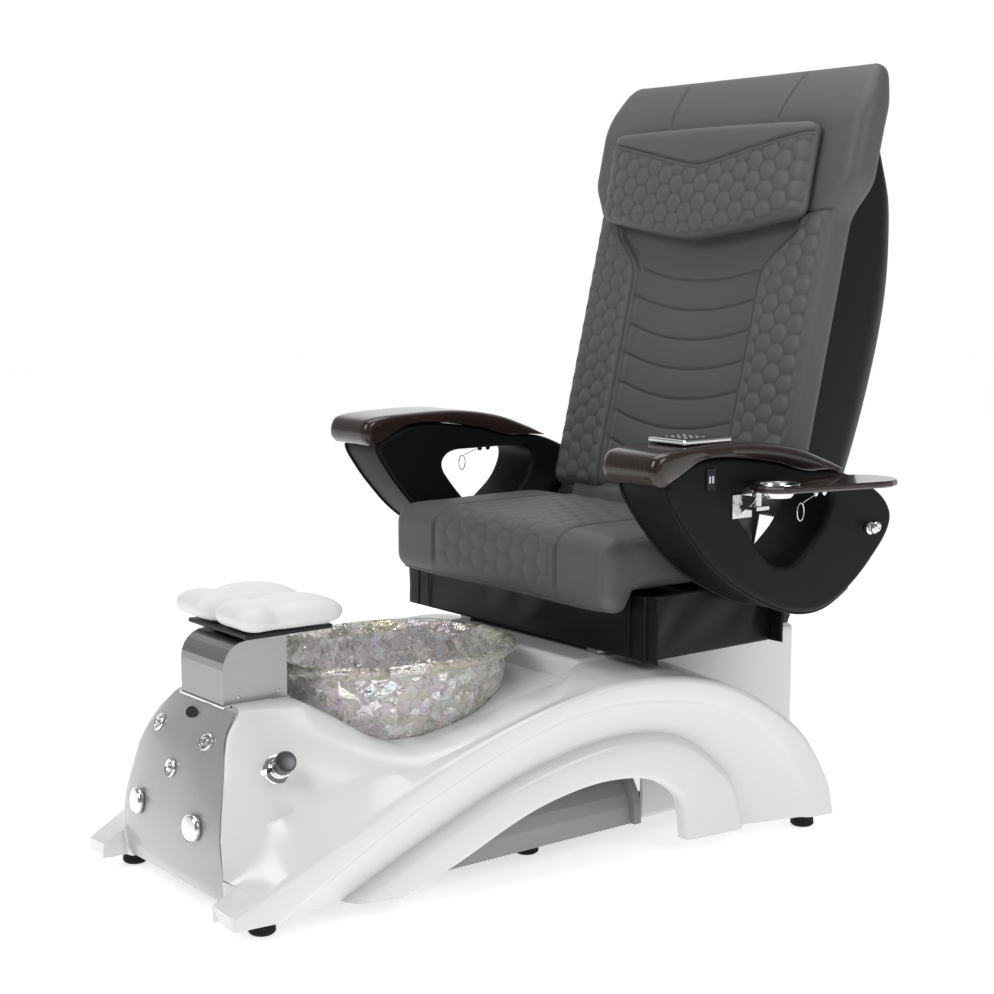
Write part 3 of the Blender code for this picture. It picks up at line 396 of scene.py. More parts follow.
def plate(name, outlines, low, high, edge, axis="X"):
    """A plate between two planes with rounded edges, from an outline and any windows in it."""
    curve = bpy.data.curves.new(name, "CURVE")
    curve.dimensions = "2D"
    curve.fill_mode = "BOTH"
    curve.extrude = (high - low) / 2 - edge
    curve.bevel_depth = edge
    curve.bevel_resolution = 4
    curve.offset = -edge
    for number, outline in enumerate(outlines):
        area = sum(a[0] * b[1] - b[0] * a[1] for a, b in zip(outline, outline[1:] + outline[:1]))
        ordered = outline if (area > 0) == (number == 0) else outline[::-1]
        run = curve.splines.new("POLY")
        run.points.add(len(ordered) - 1)
        for target, point in zip(run.points, ordered):
            target.co = (point[0], point[1], 0.0, 1.0)
        run.use_cyclic_u = True
    result = bpy.data.objects.new(name, curve)
    bpy.context.scene.collection.objects.link(result)
    middle = (low + high) / 2
    if axis == "X":
        turn = Matrix(((0, 0, 1, middle), (1, 0, 0, 0), (0, 1, 0, 0), (0, 0, 0, 1)))
    else:
        turn = Matrix.Translation((0, 0, middle))
    result.matrix_world = turn
    return settle(result, 30)


def flat_outlines(node, axis, side):
    """Outlines of the flat end of a CAD node, longest first, as pairs of its two other coordinates."""
    mesh = bmesh.new()
    mesh.from_mesh(NODES[node].data)
    bmesh.ops.remove_doubles(mesh, verts=mesh.verts, dist=1e-5)
    level = max(v.co[axis] * side for v in mesh.verts)
    flat = {f for f in mesh.faces if all(abs(v.co[axis] * side - level) < 2e-5 for v in f.verts)}
    border = [e for e in mesh.edges if sum(f in flat for f in e.link_faces) == 1]
    u, v = [k for k in range(3) if k != axis]
    links = {}
    for e in border:
        a, b = e.verts
        links.setdefault(a, []).append(b)
        links.setdefault(b, []).append(a)
    outlines, seen = [], set()
    for start in links:
        if start in seen:
            continue
        loop, current = [], start
        while current is not None and current not in seen:
            seen.add(current)
            loop.append((current.co[u], current.co[v]))
            current = next((n for n in links[current] if n not in seen), None)
        outlines.append(loop)
    mesh.free()
    outlines.sort(key=lambda loop: -(max(p[0] for p in loop) - min(p[0] for p in loop)))
    return outlines


def rectangle(low, high, inset=0.0):
    """Outline in x and y of a box, drawn in by an inset."""
    left, right, front, rear = low.x + inset, high.x - inset, low.y + inset, high.y - inset
    return [(left, front), (right, front), (right, rear), (left, rear)]


def softened(outline, radius, steps=4):
    """An outline with rounded corners, as plain pairs."""
    return [(p.x, p.y) for p in rounded([Vector((*p, 0.0)) for p in outline], radius, steps, closed=True)]


def ride(target, body, material=None, replaces=()):
    """Give a finished piece its material, its body and the CAD nodes that it stands for."""
    if material:
        target.data.materials.clear()
        target.data.materials.append(finish(material))
    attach(target, body)
    if replaces:
        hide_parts(*replaces)
    return target


def dress(material, *nodes):
    """Give CAD nodes that keep their shape a detailed finish."""
    for node in nodes:
        data = NODES[node].data
        data.materials.clear()
        data.materials.append(finish(material))


# ---------------------------------------------------------------- finishes

class Value:
    """A node's output that takes part in Python arithmetic by adding Math nodes."""

    def __init__(self, builder, socket):
        self.builder = builder
        self.socket = socket

    def __getitem__(self, name):
        """Another output of the same node."""
        return Value(self.builder, self.socket.node.outputs[name])

    def combine(self, operation, first, second):
        return self.builder.node("ShaderNodeMath", {"operation": operation}, {0: first, 1: second})

    def __add__(self, other):
        return self.combine("ADD", self, other)

    def __radd__(self, other):
        return self.combine("ADD", other, self)

    def __sub__(self, other):
        return self.combine("SUBTRACT", self, other)

    def __rsub__(self, other):
        return self.combine("SUBTRACT", other, self)

    def __mul__(self, other):
        return self.combine("MULTIPLY", self, other)

    def __rmul__(self, other):
        return self.combine("MULTIPLY", other, self)

class Nodes:
    """Adds nodes to a tree."""

    def __init__(self, tree):
        self.tree = tree

    def node(self, kind, settings=None, inputs=None, out=0):
        """Add a node: its settings first, then the values or links of its sockets."""
        made = self.tree.nodes.new(kind)
        for key, value in (settings or {}).items():
            if key == "stops":
                while len(made.color_ramp.elements) < len(value):
                    made.color_ramp.elements.new(0.5)
                for element, (at, colour) in zip(made.color_ramp.elements, value):
                    element.position = at
                    element.color = (*colour, 1.0)
            else:
                setattr(made, key, value)
        for key, value in (inputs or {}).items():
            self.feed(made.inputs[key], value)
        return Value(self, made.outputs[out]) if made.outputs else None

    def feed(self, socket, value):
        if isinstance(value, Value):
            self.tree.links.new(value.socket, socket)
        else:
            socket.default_value = value


class Shading(Nodes):
    """Shader nodes on an object's own coordinates, or on a world's directions."""

    def __init__(self, tree, coordinates):
        super().__init__(tree)
        self.place = self.node("ShaderNodeTexCoord", out=coordinates)

    def vector(self, operation, first, second):
        """Vector maths; a dot product comes out as a number."""
        return self.node("ShaderNodeVectorMath", {"operation": operation}, {0: first, 1: second},
                         "Value" if operation == "DOT_PRODUCT" else "Vector")

    def scaled(self, scale):
        return self.node("ShaderNodeMapping", None, {"Vector": self.place, "Scale": scale})

    def noise(self, scale, detail=3.0, roughness=0.5, place=None):
        return self.node("ShaderNodeTexNoise", None, {"Vector": place or self.place, "Scale": scale,
                                                      "Detail": detail, "Roughness": roughness})

    def cells(self, scale, feature="F1", out="Distance", place=None):
        return self.node("ShaderNodeTexVoronoi", {"feature": feature},
                         {"Vector": place or self.place, "Scale": scale}, out)

    def ramp(self, value, *stops):
        return self.node("ShaderNodeValToRGB", {"stops": stops}, {"Fac": value})

    def grey_ramp(self, value, *stops):
        return self.ramp(value, *[(at, (level, level, level)) for at, level in stops])

    def mix(self, share, first, second):
        """Mix two colours, given as links or as plain RGB."""
        values = {0: share}
        for index, colour in ((6, first), (7, second)):
            values[index] = colour if isinstance(colour, Value) else (*colour, 1.0)
        return self.node("ShaderNodeMix", {"data_type": "RGBA"}, values, 2)

    def bump(self, height, distance, strength=1.0, below=None):
        inputs = {"Height": height, "Distance": distance, "Strength": strength}
        if below:
            inputs["Normal"] = below
        return self.node("ShaderNodeBump", None, inputs)

    def attribute(self, name):
        return self.node("ShaderNodeAttribute", {"attribute_name": name}, None, "Fac")


class Finish(Shading):
    """One material: a Principled shader and the nodes that feed it."""

    def __init__(self, name, colour, roughness, metallic=0.0, **constants):
        self.material = bpy.data.materials.new(name)
        self.material.use_nodes = True
        super().__init__(self.material.node_tree, "Object")
        self.shader = self.tree.nodes["Principled BSDF"]
        self.set("Base Color", (*colour, 1.0))
        self.set("Roughness", roughness)
        self.set("Metallic", metallic)
        for key, value in constants.items():
            self.set(key.replace("_", " ").title().replace("Ior", "IOR"), value)

    def set(self, name, value):
        self.feed(self.shader.inputs[name], value)


def shade(colour, factor):
    return tuple(min(1.0, c * factor) for c in colour)


def leather(name, colour, roughness, grain, depth, shine=0.4):
    """Pebbled hide: fine cells under a broad noise, with painted shade and a duller surface down in the
    seams.
    """
    made = Finish(name, colour, roughness, specular_ior_level=shine)
    pebbles = made.cells(grain, "SMOOTH_F1")
    hide = made.noise(9.0, 4.0)
    wrinkles = made.noise(55.0, 5.0, 0.6)
    groove = made.attribute("groove")
    tone = made.mix(hide, shade(colour, 0.90), shade(colour, 1.10))
    tone = made.mix(pebbles * 0.35, tone, shade(colour, 0.80))
    # Painted shade: darker down in the seams and in the valleys between the quilted bubbles, following the
    # stored groove depth.
    made.set("Base Color", made.mix(groove * 0.75, tone, shade(colour, 0.36)))
    made.set("Roughness", roughness + 0.10 * (hide - 0.5) + 0.12 * groove + 0.10 * pebbles)
    coarse = made.bump(wrinkles, 0.0006, 0.55)
    made.set("Normal", made.bump(pebbles, depth, 0.8, coarse))
    return made


def finish_grey_leather():
    return leather("grey_leather", tuple(bpy.context.scene.chair_upholstery.leather), 0.46, 700.0, 0.00022)


def finish_black_leather():
    return leather("black_leather", (0.0060, 0.0060, 0.0066), 0.40, 620.0, 0.00026, 0.15)


def finish_black_vinyl():
    return leather("black_vinyl", (0.0055, 0.0055, 0.0066), 0.33, 900.0, 0.00010, 0.20)


def finish_gelcoat():
    """Pearl white gelcoat: faint waviness under a clear, glossy coat."""
    colour = tuple(bpy.context.scene.chair_base.gelcoat)
    made = Finish("pearl_gelcoat", colour, 0.30, coat_weight=0.6, coat_roughness=0.16)
    haze = made.noise(7.0, 3.0)
    flakes = made.cells(1400.0, out="Color")
    tone = made.mix(haze, shade(colour, 0.965), shade(colour, 1.02))
    made.set("Base Color", made.mix(made.node("ShaderNodeSeparateColor", None, {0: flakes}) * 0.10, tone,
                                    (0.93, 0.92, 0.95)))
    made.set("Roughness", 0.28 + 0.10 * haze)
    made.set("Normal", made.bump(made.noise(38.0, 2.0), 0.0005, 0.18))
    return made


def finish_panel_grey():
    """Warm grey metallic lacquer with fine flakes."""
    made = Finish("panel_lacquer", (0.40, 0.392, 0.382), 0.30, 0.25, coat_weight=0.7, coat_roughness=0.08)
    flakes = made.cells(2200.0, out="Color")
    light = made.node("ShaderNodeSeparateColor", None, {0: flakes})
    made.set("Base Color", made.mix(light, (0.36, 0.352, 0.342), (0.46, 0.452, 0.44)))
    made.set("Roughness", 0.27 + 0.10 * made.noise(12.0, 3.0))
    made.set("Normal", made.bump(light, 0.00006, 0.35))
    return made


def finish_pump_grey():
    made = Finish("pump_grey", (0.30, 0.305, 0.31), 0.50)
    stipple = made.noise(420.0, 3.0)
    broad = made.noise(6.0, 3.0)
    made.set("Base Color", made.mix(broad, (0.27, 0.275, 0.28), (0.34, 0.345, 0.35)))
    made.set("Roughness", 0.42 + 0.16 * stipple)
    made.set("Normal", made.bump(stipple, 0.0003, 0.5))
    return made


def metal(name, colour, roughness, brushing=None, depth=0.00004):
    """Bare metal with wipe marks, or with brushed lines that run along one axis."""
    made = Finish(name, colour, roughness, 1.0)
    smears = made.noise(24.0, 4.0, 0.6)
    made.set("Roughness", roughness * 0.75 + roughness * 0.5 * smears)
    made.set("Base Color", made.mix(smears, shade(colour, 0.93), shade(colour, 1.05)))
    if brushing:
        lines = made.noise(1.0, 3.0, 0.7, made.scaled(brushing))
        made.set("Roughness", roughness * 0.7 + roughness * 0.6 * lines)
        made.set("Base Color", made.mix(lines, shade(colour, 0.86), shade(colour, 1.10)))
        made.set("Normal", made.bump(lines, depth, 0.5))
    return made


def finish_chrome():
    return metal("chrome", (0.82, 0.82, 0.84), 0.07)


def finish_satin_chrome():
    return metal("satin_chrome", (0.78, 0.78, 0.78), 0.20)


def finish_brushed_steel():
    return metal("brushed_steel", (0.36, 0.36, 0.365), 0.30, (12.0, 12.0, 900.0), 0.00008)


def finish_graphite():
    return metal("graphite", (0.13, 0.13, 0.14), 0.34, (700.0, 40.0, 700.0), 0.0001)


def plastic(name, colour, roughness, stipple=0.0004):
    made = Finish(name, colour, roughness, specular_ior_level=0.22)
    grain = made.noise(520.0, 3.0)
    broad = made.noise(8.0, 3.0)
    made.set("Base Color", made.mix(broad, shade(colour, 0.85), shade(colour, 1.15)))
    made.set("Roughness", roughness - 0.06 + 0.14 * grain)
    made.set("Normal", made.bump(grain, stipple, 0.4))
    return made


def finish_dark_plastic():
    return plastic("dark_plastic", (0.018, 0.018, 0.020), 0.32, 0.0002)


def finish_black_shell():
    return plastic("black_shell", (0.0065, 0.0065, 0.0070), 0.42, 0.0006)


def finish_frame_paint():
    return plastic("frame_paint", (0.028, 0.028, 0.030), 0.46)


def finish_rubber():
    return plastic("foot_rubber", (0.014, 0.014, 0.014), 0.74, 0.0008)


def finish_white_pad():
    """Soft white skin of the moulded footrest, a little translucent."""
    made = Finish("white_pad", (0.80, 0.80, 0.79), 0.42, coat_weight=0.15, coat_roughness=0.3)
    skin = made.noise(300.0, 3.0)
    broad = made.noise(10.0, 3.0)
    made.set("Base Color", made.mix(broad, (0.76, 0.76, 0.75), (0.84, 0.84, 0.83)))
    made.set("Roughness", 0.36 + 0.14 * skin)
    made.set("Normal", made.bump(skin, 0.0002, 0.4))
    return made


def finish_espresso_wood():
    """Dark stained wood, grain along the arm, under thick clear lacquer."""
    made = Finish("espresso_wood", (0.018, 0.008, 0.0055), 0.30, specular_ior_level=0.3, coat_weight=0.8,
                  coat_roughness=0.06)
    flow = made.noise(3.0, 4.0, 0.6, made.scaled((9.0, 1.2, 9.0)))
    bands = made.node("ShaderNodeTexWave", {"wave_type": "BANDS", "bands_direction": "X"},
                      {"Vector": made.scaled((1.0, 0.06, 1.0)), "Scale": 38.0, "Distortion": 5.0,
                       "Detail": 3.0, "Detail Scale": 1.6}, "Fac")
    pores = made.noise(1.0, 2.0, 0.5, made.scaled((900.0, 40.0, 900.0)))
    tone = made.mix(bands, (0.0085, 0.0040, 0.0030), (0.034, 0.0140, 0.0085))
    tone = made.mix(flow * 0.5, tone, (0.015, 0.0065, 0.0045))
    made.set("Base Color", made.mix(pores * 0.30, tone, (0.005, 0.0026, 0.0022)))
    made.set("Roughness", 0.22 + 0.18 * pores)
    made.set("Normal", made.bump(pores, 0.0001, 0.25))
    return made


def crystal(name, base, share, mirror, scale, bend, tints):
    """Rippled glass whose wavy facets each lean their own way and take their own tint of a rainbow film, with
    thin lines of painted shade and white specks of painted highlight in its colour.
    """
    made = Finish(name, base, 0.05, transmission_weight=share, ior=1.5, thin_film_thickness=480.0,
                  thin_film_ior=1.7)
    drift = made.node("ShaderNodeTexNoise", None,
                      {"Vector": made.place, "Scale": 24.0, "Detail": 2.0}, "Color")
    wander = made.vector("SUBTRACT", drift, (0.5,) * 3)
    bent = made.vector("ADD", made.place, made.vector("MULTIPLY", wander, bend))
    own = made.cells(scale, "F1", "Color", bent)
    centre = made.cells(scale, "F1", "Position", bent)
    tilt = made.vector("SUBTRACT", own, (0.5,) * 3)
    facet = made.vector("DOT_PRODUCT", made.vector("SUBTRACT", bent, centre), tilt)
    ripple = made.noise(46.0, 3.0, 0.6, bent)
    lot = made.node("ShaderNodeSeparateColor", None, {0: own}, 1)
    film = made.ramp(lot, *tints)
    contour = made.noise(30.0, 3.0, 0.55, bent)
    # Painted shade: thin dark contour lines, mixed into the colour below.
    dark = made.grey_ramp(contour, (0.455, 0.0), (0.475, 1.0), (0.50, 0.0),
                          (0.585, 0.0), (0.60, 0.8), (0.62, 0.0))
    # Painted highlight: white specks, mixed into the colour below.
    light = made.grey_ramp(made.noise(34.0, 4.0, 0.6), (0.55, 0.0), (0.60, 1.0), (0.66, 0.3))
    tone = made.mix(dark * 0.62, film, shade(base, 0.30))
    made.set("Base Color", made.mix(light * 0.8, tone, (1.0, 1.0, 0.99)))
    other_lot = made.node("ShaderNodeSeparateColor", None, {0: own}, 2)
    made.set("Metallic", made.grey_ramp(other_lot, (0.42, 0.0), (0.50, mirror), (0.75, mirror),
                                        (0.80, 0.15)))
    made.set("Roughness", 0.02 + 0.08 * ripple)
    made.set("Normal", made.bump(facet * 70.0 + ripple * 0.7, 0.010, 1.0))
    return made


def finish_crystal_glass():
    return crystal("crystal_glass", (0.84, 0.85, 0.79), 0.42, 0.70, 58.0, (0.034, 0.034, 0.018),
                   ((0.05, (0.93, 0.91, 0.78)), (0.20, (0.88, 0.90, 0.87)), (0.34, (0.80, 0.92, 0.84)),
                    (0.42, (0.96, 0.96, 0.94)), (0.60, (0.88, 0.82, 0.90)), (0.68, (0.94, 0.94, 0.92)),
                    (0.84, (0.94, 0.86, 0.86)), (0.95, (0.82, 0.90, 0.93))))


def finish_crystal_rim():
    return crystal("crystal_rim", (0.82, 0.82, 0.70), 0.62, 0.45, 18.0, (0.06, 0.06, 0.02),
                   ((0.10, (0.74, 0.74, 0.60)), (0.35, (0.96, 0.97, 0.94)), (0.62, (0.86, 0.80, 0.56)),
                    (0.80, (0.97, 0.98, 0.96))))


def finish_panel_glass():
    made = Finish("panel_glass", (0.020, 0.024, 0.030), 0.10, coat_weight=1.0, coat_roughness=0.03)
    made.set("Roughness", 0.07 + 0.10 * made.noise(40.0, 3.0))
    return made


def finish_thread():
    made = Finish("thread", (0.060, 0.062, 0.062), 0.55)
    twist = made.node("ShaderNodeTexWave", None,
                      {"Vector": made.place, "Scale": 900.0, "Distortion": 1.0}, "Fac")
    made.set("Base Color", made.mix(twist, (0.045, 0.046, 0.046), (0.085, 0.087, 0.087)))
    made.set("Normal", made.bump(twist, 0.0002, 0.5))
    return made


def finish_key_print():
    made = Finish("key_print", (0.62, 0.66, 0.70), 0.35)
    made.set("Roughness", 0.30 + 0.10 * made.noise(60.0, 2.0))
    return made


def finish_floor():
    made = Finish("studio_floor", (0.80, 0.80, 0.80), 0.60, emission_color=(1.0, 1.0, 1.0, 1.0),
                  emission_strength=0.66)
    made.set("Roughness", 0.55 + 0.10 * made.noise(3.0, 2.0))
    return made


FINISHES = {
    "black_leather": finish_black_leather, "black_shell": finish_black_shell,
    "black_vinyl": finish_black_vinyl,
    "brushed_steel": finish_brushed_steel, "chrome": finish_chrome,
    "crystal_glass": finish_crystal_glass,
    "crystal_rim": finish_crystal_rim, "dark_plastic": finish_dark_plastic,
    "espresso_wood": finish_espresso_wood, "floor": finish_floor, "frame_paint": finish_frame_paint,
    "gelcoat": finish_gelcoat, "graphite": finish_graphite, "grey_leather": finish_grey_leather,
    "key_print": finish_key_print, "panel_glass": finish_panel_glass, "panel_grey": finish_panel_grey,
    "pump_grey": finish_pump_grey, "rubber": finish_rubber, "satin_chrome": finish_satin_chrome,
    "thread": finish_thread, "white_pad": finish_white_pad,
}
made_finishes = {}


def finish(name):
    if name not in made_finishes:
        made_finishes[name] = FINISHES[name]().material
    return made_finishes[name]


# ---------------------------------------------------------------- settings a user would change

class ChairUpholstery(bpy.types.PropertyGroup):
    leather: FloatVectorProperty(name="Leather", description="Colour of the grey upholstery leather",
                                 default=(0.100, 0.104, 0.102), min=0.0, max=1.0, subtype="COLOR")
    bubble: FloatProperty(name="Bubble pitch", description="Distance between quilted bubbles in a column",
                          default=0.038, min=0.02, max=0.08, unit="LENGTH")
    bubble_height: FloatProperty(name="Bubble height", description="Height of the quilted bubbles",
                                 default=0.0042, min=0.0, max=0.01, unit="LENGTH")
    stitch: FloatProperty(name="Stitch", description="Distance from one stitch to the next",
                          default=0.0052, min=0.002, max=0.02, unit="LENGTH")


class ChairBase(bpy.types.PropertyGroup):
    gelcoat: FloatVectorProperty(name="Gelcoat", description="Colour of the moulded base",
                                 default=(0.80, 0.80, 0.795), min=0.0, max=1.0, subtype="COLOR")
    fillet: FloatProperty(name="Fillet", description="Rounding of the moulding's edges",
                          default=0.007, min=0.001, max=0.02, unit="LENGTH")
    ripple: FloatProperty(name="Glass ripple", description="Depth of the ripples in the glass bowl",
                          default=0.0012, min=0.0, max=0.004, unit="LENGTH")


class ChairStage(bpy.types.PropertyGroup):
    azimuth: FloatProperty(name="Azimuth", description="Camera angle round the chair, 0 from the front",
                           default=math.radians(52.0), subtype="ANGLE")
    elevation: FloatProperty(name="Elevation", description="Camera angle above the horizon",
                             default=math.radians(7.5), subtype="ANGLE")
    distance: FloatProperty(name="Distance", description="Camera distance from its target",
                            default=3.33, min=1.0, unit="LENGTH")
    lens: FloatProperty(name="Lens", description="Focal length for a 36 mm sensor", default=65.19, min=20.0)
    backdrop: IntProperty(name="Floor size", description="Width of the floor in metres", default=30, min=4)


def settings():
    scene = bpy.context.scene
    return scene.chair_upholstery, scene.chair_base


# ---------------------------------------------------------------- moulded base

def deck_at(y):
    """Half width and height of the deck at y."""
    table = np.array(DECK)
    return [float(np.interp(y, table[:, 0], table[:, k])) for k in (1, 2)]


def arch_face(y):
    return ARCH_X_FRONT + ARCH_FLARE * (y - TOE_Y)


def flange_inner(y, z):
    """Where the arch's upper flange meets the deck, the toe's inner wall or the pedestal."""
    edge = Vector((arch_face(y), y, z))
    pedestal = Vector((size_of("pedestal").x / 2, y, z + 0.010))
    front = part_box("pedestal")[0].y
    if y > front:
        return pedestal
    half, height = deck_at(y)
    inner = edge.lerp(Vector((half, y, height)), 0.36) - Vector((0, 0, 0.010))
    inner = inner.lerp(pedestal, float(smooth((y + 0.120) / (front + 0.120))))
    return inner.lerp(Vector((TOE_INNER_X, y, z + 0.003)), float(smooth((-0.615 - y) / 0.085)))


def arch_section(r, s, g, m, fillet):
    """Line over one arch at a station, from the deck over the rim and its steps into the opening."""
    near_step, near_groove = s.lerp(g, 0.10), g.lerp(s, 0.10)
    line = [flange_inner(r.x, r.y), Vector((arch_face(r.x), r.x, r.y))]
    for point, depth in ((s, 0.003), (near_step, 0.015), (near_groove, 0.034), (g, 0.012),
                         (m, 0.008), (m, 0.030)):
        line.append(Vector((arch_face(point.x) - depth, point.x, point.y)))
    return rounded(line, fillet, 3)


def nose_top(low_y):
    """The y of the deck's top over a point of its leaning lower edge."""
    slope = NOSE_LEAN / NOSE_RUN
    return max(low_y, (low_y + NOSE_LEAN + slope * DECK[0][0]) / (1 + slope))


def panel_edge(z):
    """Point of the front panel's edge at a height."""
    table = np.array(PANEL)[::-1]
    y, half = (float(np.interp(z, table[:, 0], table[:, k])) for k in (1, 2))
    return Vector((half, y, z))


def nose_edge_z(t):
    """Height on the panel's edge, from the deck (t 0) to the toe's flange (t 1)."""
    return DECK[0][2] + (PANEL[-2][0] - DECK[0][2]) * t


def deck_section(flange):
    """Line from the deck's middle over its shoulder down to the arch."""
    y = nose_top(flange.y)
    half, height = deck_at(y)
    shoulder = Vector((half, y, height))
    line = [Vector((0, y, height + 0.001)), Vector((half * 0.6, y, height + 0.001)), shoulder]
    share = float(smooth((y - DECK[0][0]) / 0.10))
    for step in range(1, NOSE_STEPS):
        t = step / NOSE_STEPS
        straight = shoulder.lerp(flange, t) + Vector((0.010, 0, 0.006)) * math.sin(math.pi * t)
        line.append(panel_edge(nose_edge_z(t)).lerp(straight, share))
    return [*rounded(line[:5], 0.012, 3)[:-1], *line[4:], flange]


def skin(mesh, rows, side):
    """Add rows of points to a mesh as quads, mirrored for the left side."""
    made = [[mesh.verts.new((side * p.x, p.y, p.z)) for p in row] for row in rows]
    for low, high in zip(made, made[1:]):
        for a, b, c, d in zip(low, low[1:], high[1:], high):
            mesh.faces.new((a, b, c, d))


def bowl_ring(half_x, half_y, z, segments):
    middle = middle_of("foot_bowl").y
    ring = []
    for i in range(segments):
        c, s = math.cos(2 * math.pi * i / segments), math.sin(2 * math.pi * i / segments)
        ring.append(Vector((half_x * math.copysign(abs(c) ** (2 / BOWL_POWER), c),
                            middle + half_y * math.copysign(abs(s) ** (2 / BOWL_POWER), s), z)))
    return ring


def bowl_wall(t, inset):
    """Half sizes and height of the bowl's wall, from under the rim (t 0) to its foot (t 1)."""
    half = size_of("foot_bowl") / 2
    top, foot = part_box("foot_bowl")[1].z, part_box("foot_bowl")[0].z
    shrink = 0.020 + 0.060 * t ** 2.2
    z = top - 0.022 - (top - 0.022 - foot) * t ** 0.9
    return half.x - shrink - inset, half.y - shrink * 1.05 - inset, z


def make_bowl_cutter():
    """What the bowl takes out of the deck: its own wall, and room above it."""
    rings = [bowl_ring(*bowl_wall(t / 12, -0.0008), 96) for t in range(13)]
    rings.insert(0, [p + Vector((0, 0, 0.03)) for p in rings[0]])
    return closed_loft("bowl_seat_cutter", rings)


def make_moulding():
    """The deck and both arches as one glossy skin with a seat for the bowl."""
    fillet = settings()[1].fillet
    step, groove, mouth = (spline([(y, z, 0) for y, z in edge], ARCH_STATIONS)
                           for edge in (STEP_EDGE, GROOVE_EDGE, OPENING_EDGE))
    rim = [Vector((*RIM_EDGE[0], 0)), *spline([(y, z, 0) for y, z in RIM_EDGE[1:]], ARCH_STATIONS - 1)]
    arch_rows = [arch_section(*station, fillet) for station in zip(rim, step, groove, mouth)]
    nose_y, pedestal_y = DECK[0][0] - NOSE_LEAN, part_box("pedestal")[0].y - 0.001
    first = next(i for i, row in enumerate(arch_rows) if row[0].y >= nose_y)
    last = next(i for i, row in enumerate(arch_rows) if row[0].y >= pedestal_y)
    deck_rows = [deck_section(row[0]) for row in arch_rows[first:last + 1]]
    toe_rows = [[row[0], Vector((row[0].x, row[0].y, FLOOR_EDGE_Z))] for row in arch_rows[:first + 1]]
    heel_top, heel_foot = toe_rows[-1]
    start_z = nose_edge_z(1 - 1 / NOSE_STEPS) + 0.0005         # a hair apart from the deck's own edge
    nose_rows = []
    for t in np.linspace(0, 1, 6):
        nose_rows.append([panel_edge(start_z + (PANEL[-1][0] - start_z) * t),
                          heel_top.lerp(heel_foot, float(t))])
    mesh = bmesh.new()
    for _, side in SIDES:
        for rows in (arch_rows, deck_rows, toe_rows, nose_rows):
            skin(mesh, rows, side)
    bmesh.ops.remove_doubles(mesh, verts=mesh.verts, dist=1e-5)
    bmesh.ops.recalc_face_normals(mesh, faces=mesh.faces)
    top = max(mesh.faces, key=lambda f: f.calc_center_median().z)
    if top.normal.z < 0:
        bmesh.ops.reverse_faces(mesh, faces=mesh.faces)
    moulding = from_bmesh("base_moulding", mesh, 40, outward=False)
    wall = moulding.modifiers.new("wall", "SOLIDIFY")
    wall.thickness, wall.offset = 0.005, -1.0
    cutter = make_bowl_cutter()
    seat = moulding.modifiers.new("bowl_seat", "BOOLEAN")
    seat.operation, seat.object = "DIFFERENCE", cutter
    seat.use_self = True
    moulding = settle(moulding, 38)
    bpy.data.objects.remove(cutter)
    ride(moulding, "base", "gelcoat", ("deck_shell", "side_arch_left", "side_arch_right"))


def make_front_panel():
    """Bulging grey sheet over the nose."""
    rows = []
    for z, y, half in spline(PANEL, 48):
        row = []
        for k in range(49):
            u = -math.cos(math.pi * k / 48)
            bulge = 0.014 * (1 - abs(u) ** 2.4) * min(1.0, (z - 0.034) / 0.03, (0.345 - z) / 0.05)
            row.append(Vector((u * (half - 0.0016), y - bulge, z)))
        rows.append(row)
    sheet = walled("front_panel_sheet", rows, 0.005, -1, 35)
    ride(sheet, "base", "panel_grey", ("front_panel",))


def make_bowl():
    """Glass bowl with rippled walls, and its smooth rolled rim as a second tint of the same glass."""
    ripple = settings()[1].ripple
    wall, segments = 0.008, BOWL_SEGMENTS
    shares = [k / BOWL_RINGS for k in range(BOWL_RINGS + 1)]
    outer = [bowl_ring(*bowl_wall(t, 0.0), segments) for t in reversed(shares)]
    inner = [bowl_ring(*bowl_wall(t, wall), segments) for t in shares]
    half, top = size_of("foot_bowl") / 2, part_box("foot_bowl")[1].z
    lip = [(0.006, 0.020), (0.0, 0.0135), (0.0, 0.0055), (0.007, 0.0), (0.019, 0.002), (0.026, 0.010)]
    lip = [bowl_ring(half.x - inset, half.y - inset, top - drop, segments)
           for inset, drop, _ in rounded([(a, b, 0) for a, b in lip], 0.006, 3)]
    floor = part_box("foot_bowl")[0].z + 0.010
    for ring in inner:
        for p in ring:
            p.z = max(p.z, floor)
    rings = outer + lip + inner
    points = np.array([list(p) for ring in rings for p in ring])
    number = np.repeat(np.arange(len(rings)), segments)
    walls = (number < len(outer)) | (number >= len(outer) + len(lip))
    x, y, z = points.T
    wave = (np.sin(210 * x + 90 * z + 1.7 * np.sin(150 * y))
            * np.sin(190 * y - 120 * z + 1.9 * np.sin(170 * x))
            + 0.6 * np.sin(330 * z + 2.0 * np.sin(120 * (x + y))))
    out = points - np.array([0.0, middle_of("foot_bowl").y, top])
    out[:, 2] = 0.0
    out /= np.maximum(np.linalg.norm(out, axis=1, keepdims=True), 1e-6)
    points += out * (np.minimum(wave, 0.0) * ripple * walls)[:, None]
    bowl = closed_loft("glass_bowl", points.reshape(len(rings), segments, 3))
    bowl.data.materials.append(finish("crystal_glass"))
    bowl.data.materials.append(finish("crystal_rim"))
    for index in range((len(outer) - 1) * segments, (len(outer) + len(lip)) * segments):
        bowl.data.polygons[index].material_index = 1
    ride(bowl, "base", replaces=("foot_bowl",))


# ---------------------------------------------------------------- upholstery

def pad_edge(height):
    """Half width of the back pad: straight beside the sitter, wide beside the pillow, narrow at the top."""
    low, high = 0.329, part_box("back_pad")[1].x - 0.001
    wing = smooth((height - 0.640) / 0.095)
    return low + (high - low) * wing - 0.022 * smooth((height - 0.86) / 0.10)


def inner_seam(height):
    """Distance of the bolsters' inner seams from the middle, flaring out under the pillow."""
    return 0.178 + 0.075 * smooth((height - 0.515) / 0.115) ** 1.4


